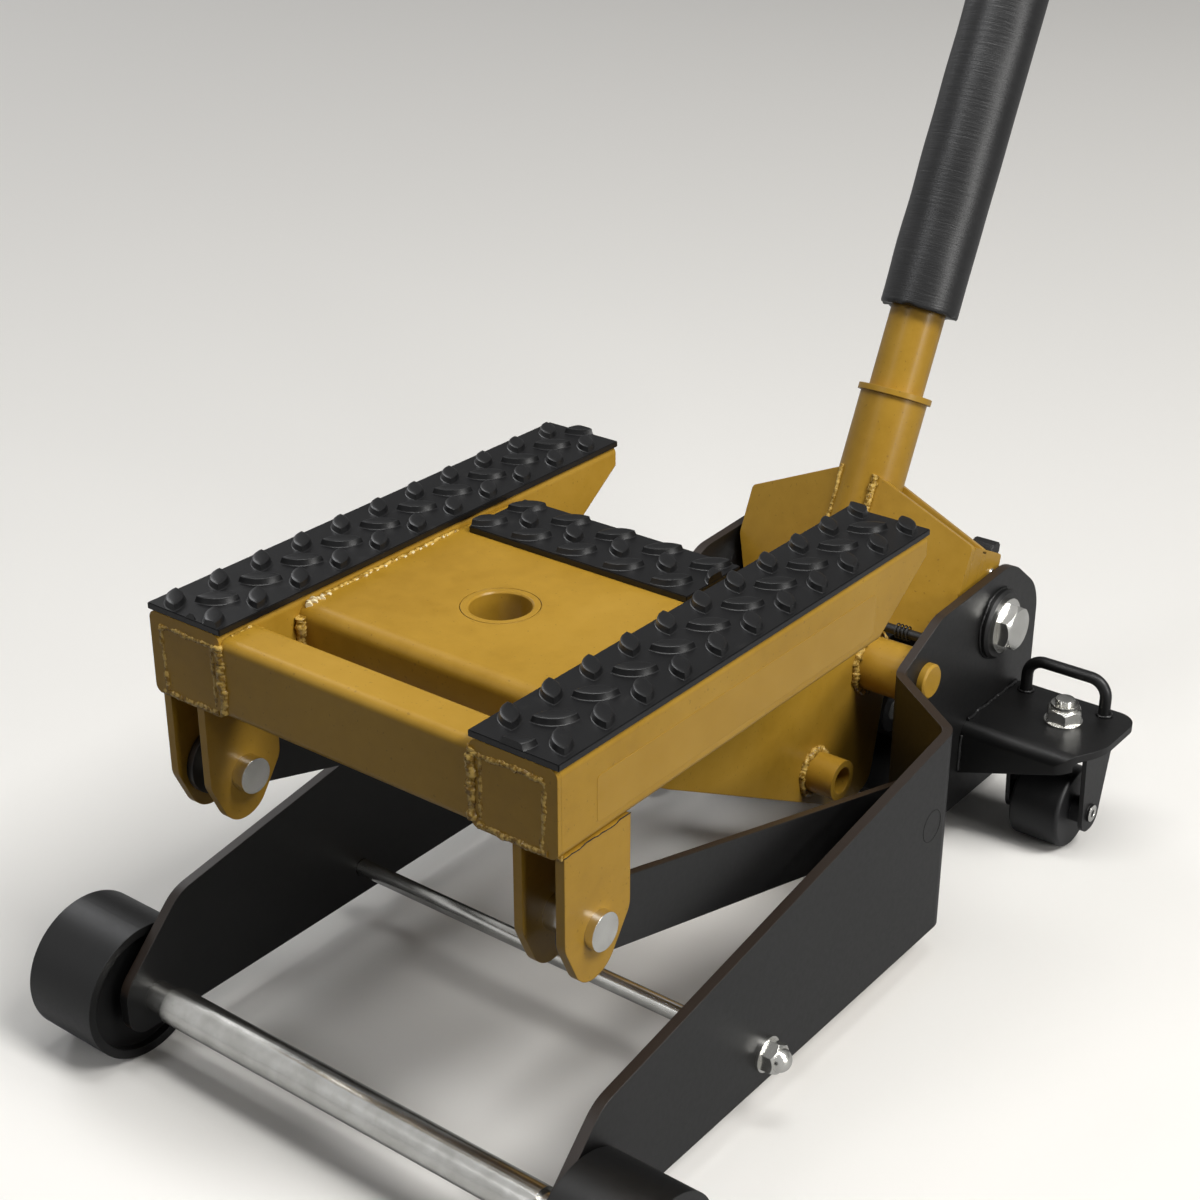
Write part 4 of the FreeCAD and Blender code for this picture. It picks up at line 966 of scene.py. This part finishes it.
def screwHead(name, body, place, radius, height, material):
    profile = [(radius, 0), (radius, height * 0.6), (radius * 0.85, height), (radius * 0.5, height),
               (radius * 0.42, height * 0.45), (0, height * 0.45)]
    mesh = lathe(profile, place, 32)
    sharpen(keep(name, mesh, body, material))


def yokeFittings():
    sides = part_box("yoke_side_plates")
    x = sides[1].x
    for name, side in (("tabScrewRight", 1), ("tabScrewLeft", -1)):
        place = alongX(side * (x - 0.4 * mm), pivot[1] + fitting["screwBack"] * mm,
                       pivot[2] + fitting["screwUp"] * mm, side)
        screwHead(name, "yoke", place, *fitting["screw"], finishes["zinc_plate"])
    # catch block inside the right shoulder
    mesh = bmesh.new()
    left = [mesh.verts.new(onHandle(fitting["catchInner"], back, up)) for back, up in fitting["catch"]]
    right = [mesh.verts.new(onHandle(fitting["catchOuter"], back, up)) for back, up in fitting["catch"]]
    closeEnds(mesh, (right, left))
    bridge(mesh, right, left)
    bmesh.ops.bevel(mesh, geom=mesh.edges[:], offset=1.0 * mm, segments=2, affect="EDGES")
    sharpen(keep("shoulderCatch", mesh, "yoke", finishes["black_paint"]))


yokeFittings()


# back and up: from the arm's pivot; bar and coil run outwards from their starts, millimetres
spring = {"back": 11.0, "up": 25.5, "bar": 3.6, "barStart": 62.0, "barLength": 38.0, "coil": 5.2,
          "wire": 1.3, "coilStart": 74.0, "coilPitch": 3.0, "turns": 4, "steps": 24}


def springs():
    # anchor bars in the side plates with the end coils of the arm's return springs
    y = armHub[1] + spring["back"] * mm
    z = armHub[2] + spring["up"] * mm
    length = spring["barLength"]
    for name, side in (("Right", 1), ("Left", -1)):
        radius = spring["bar"]
        bar = lathe([(0, 0), (radius - 0.6, 0), (radius, 0.6), (radius, length), (0, length)],
                    alongX(side * spring["barStart"] * mm, y, z, side), 28)
        sharpen(keep("springBar" + name, bar, "chassis", finishes["black_paint"]))
        points = []
        reach = spring["coil"] * mm
        for k in range(spring["turns"] * spring["steps"] + 1):
            turn = 2 * math.pi * k / spring["steps"]
            x = spring["coilStart"] + spring["coilPitch"] * k / spring["steps"]
            points.append(Vector((side * x * mm, y + reach * math.cos(turn), z + reach * math.sin(turn))))
        weldOn("springCoil" + name, "chassis", [(points, spring["wire"], False)],
               finishes["block_iron"], 1.0, 0.0)


springs()


thread = {"radius": 7.0, "pitch": 1.25, "crest": 0.30}


def studThreads():
    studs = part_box("caster_studs")
    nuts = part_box("caster_lock_nuts")
    centre = joints["caster_swivel_right"]["pos_m"]
    radius = thread["radius"]
    low = nuts[1].z / mm
    high = studs[1].z / mm
    for name, side in (("Right", 1), ("Left", -1)):
        profile = [(radius - 0.3, low - 1.0)]
        height = low - 0.5
        while height + 1.4 < high:
            profile += [(radius + 0.02, height + 0.2), (radius + thread["crest"], height + 0.55),
                        (radius + 0.02, height + 0.9)]
            height += thread["pitch"]
        profile += [(radius + 0.02, high - 0.5), (radius - 1.2, high + 0.12), (0, high + 0.12)]
        mesh = lathe(profile, upright(side * centre[0], centre[1], 0), 36)
        sharpen(keep("studThread" + name, mesh, "chassis", finishes["zinc_plate"]), 25)


studThreads()


# outline of a cap with a dimple, as (radius, height)
rivet = {"profile": [(6.6, -0.4), (6.6, 0.15), (5.6, 0.45), (3.4, 0.45), (2.6, -0.2), (0, -0.2)]}


def rivetCaps():
    for name, side in (("right", 1), ("left", -1)):
        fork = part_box("caster_fork_" + name)
        wheel = joints["caster_spin_" + name]["pos_m"]
        outer = fork[1].x if side > 0 else fork[0].x
        inner = fork[0].x if side > 0 else fork[1].x
        for label, x, way in (("Outer", outer, side), ("Inner", inner, -side)):
            mesh = lathe(rivet["profile"], alongX(x, wheel[1], wheel[2], way), 32)
            sharpen(keep("rivetCap" + label + name.capitalize(), mesh, "caster_fork_" + name,
                         finishes["zinc_plate"]))


rivetCaps()
print("small fittings made")


# floorBounce and floorMirrored: how bright the floor counts for soft light and in reflections, both
# darker than the floor that the camera sees; airSeen, airMirrored and airLight do that for the world
studio = {"halfWidth": 9.0, "front": -9.0, "wallAt": 4.5, "curve": 1.5, "height": 6.0,
          "floorNear": (246, 244, 240), "floorFar": (238, 236, 232), "floorBounce": 0.08,
          "floorMirrored": 0.42, "airSeen": 0.90, "airMirrored": 0.40, "airLight": 0.07}


def backdrop():
    # floor that curves up into the wall behind the jack
    mesh = bmesh.new()
    path = [(studio["front"], 0.0), (studio["wallAt"], 0.0)]
    for step in range(1, 17):
        turn = step / 16 * math.pi / 2
        path.append((studio["wallAt"] + studio["curve"] * math.sin(turn),
                     studio["curve"] * (1 - math.cos(turn))))
    path.append((studio["wallAt"] + studio["curve"], studio["height"]))
    rows = [[mesh.verts.new((side * studio["halfWidth"], y, z)) for side in (-1, 1)] for y, z in path]
    for low, high in zip(rows, rows[1:]):
        mesh.faces.new((low[0], low[1], high[1], high[0]))
    data = bpy.data.meshes.new("studioFloor")
    mesh.to_mesh(data)
    mesh.free()
    for face in data.polygons:
        face.use_smooth = True
    floor = bpy.data.objects.new("studioFloor", data)
    scene.collection.objects.link(floor)
    look = Finish("studioPaper")
    # painted light falloff: the floor is painted lighter at the front and under the jack and darker towards the
    # wall
    depth = (look.along("Y") + look.noise(0.8, 2.0) * 0.4) / studio["wallAt"]
    colour = look.ramp(depth, [(0.0, tint(*studio["floorNear"])), (0.8, tint(*studio["floorFar"]))])
    spread = look.add("ShaderNodeLightPath", out="Is Diffuse Ray")
    mirrored = look.add("ShaderNodeLightPath", out="Is Glossy Ray")
    colour = look.mix(mirrored, colour, (studio["floorMirrored"],) * 3)
    colour = look.mix(spread, colour, (studio["floorBounce"],) * 3)
    data.materials.append(look.finish(colour=colour, rough=0.6, specular=0.2))


# way: direction from the jack; level: how bright a white surface facing the lamp comes out
# the top lamp hangs behind the plane of the platform's front faces, which stay dark
lamps = {
    "keyLamp": {"way": (0.60, 0.06, 0.78), "distance": 9.0, "level": 0.72, "width": 3.4, "height": 3.4,
                "colour": (1.0, 0.99, 0.97)},
    "sideLamp": {"way": (0.97, -0.02, 0.26), "distance": 6.0, "level": 0.30, "width": 2.4, "height": 1.4,
                 "colour": (1.0, 0.99, 0.97)},
    "topLamp": {"way": (0.10, -0.22, 1.35), "distance": 1.40, "level": 0.46, "width": 1.2, "height": 0.24,
                "colour": (1.0, 1.0, 0.99)},
    "frontLamp": {"way": (-0.24, -0.74, 0.62), "distance": 8.0, "level": 0.10, "width": 1.6, "height": 1.6,
                  "colour": (0.97, 0.98, 1.0)},
    "leftLamp": {"way": (-0.95, 0.25, 0.62), "distance": 8.0, "level": 0.16, "width": 2.6, "height": 2.6,
                 "colour": (0.97, 0.98, 1.0)},
}


def lamp(name, way, distance, level, width, height, colour):
    data = bpy.data.lights.new(name, "AREA")
    data.shape = "RECTANGLE"
    data.size = width
    data.size_y = height
    data.energy = level * (math.pi * distance) ** 2
    data.color = colour
    obj = bpy.data.objects.new(name, data)
    aim = Vector((0, -0.1, 0.2))
    obj.location = aim + Vector(way).normalized() * distance
    obj.rotation_euler = (aim - obj.location).to_track_quat("-Z", "Y").to_euler()
    scene.collection.objects.link(obj)


def air():
    world = bpy.data.worlds.new("studioAir")
    scene.world = world
    world.use_nodes = True
    tree = world.node_tree
    background = tree.nodes["Background"]
    background.inputs[0].default_value = (1, 1, 1, 1)
    path = tree.nodes.new("ShaderNodeLightPath")
    seen = Val(tree, path.outputs["Is Camera Ray"])
    mirrored = Val(tree, path.outputs["Is Glossy Ray"])
    strength = seen * studio["airSeen"] + mirrored * studio["airMirrored"] + studio["airLight"]
    plug(tree, background.inputs[1], strength)


backdrop()
for name, values in lamps.items():
    lamp(name, **values)
air()

view = {"place": (0.7281, -1.1772, 0.8554), "pitch": 64.3, "turn": 37.8, "lens": 62.55, "sensor": 36.0}
cameraData = bpy.data.cameras.new("jackView")
cameraData.lens = view["lens"]
cameraData.sensor_width = view["sensor"]
camera = bpy.data.objects.new("jackView", cameraData)
camera.location = view["place"]
camera.rotation_euler = (math.radians(view["pitch"]), 0, math.radians(view["turn"]))
scene.collection.objects.link(camera)
scene.camera = camera
scene.view_settings.view_transform = "Standard"
print("studio ready")
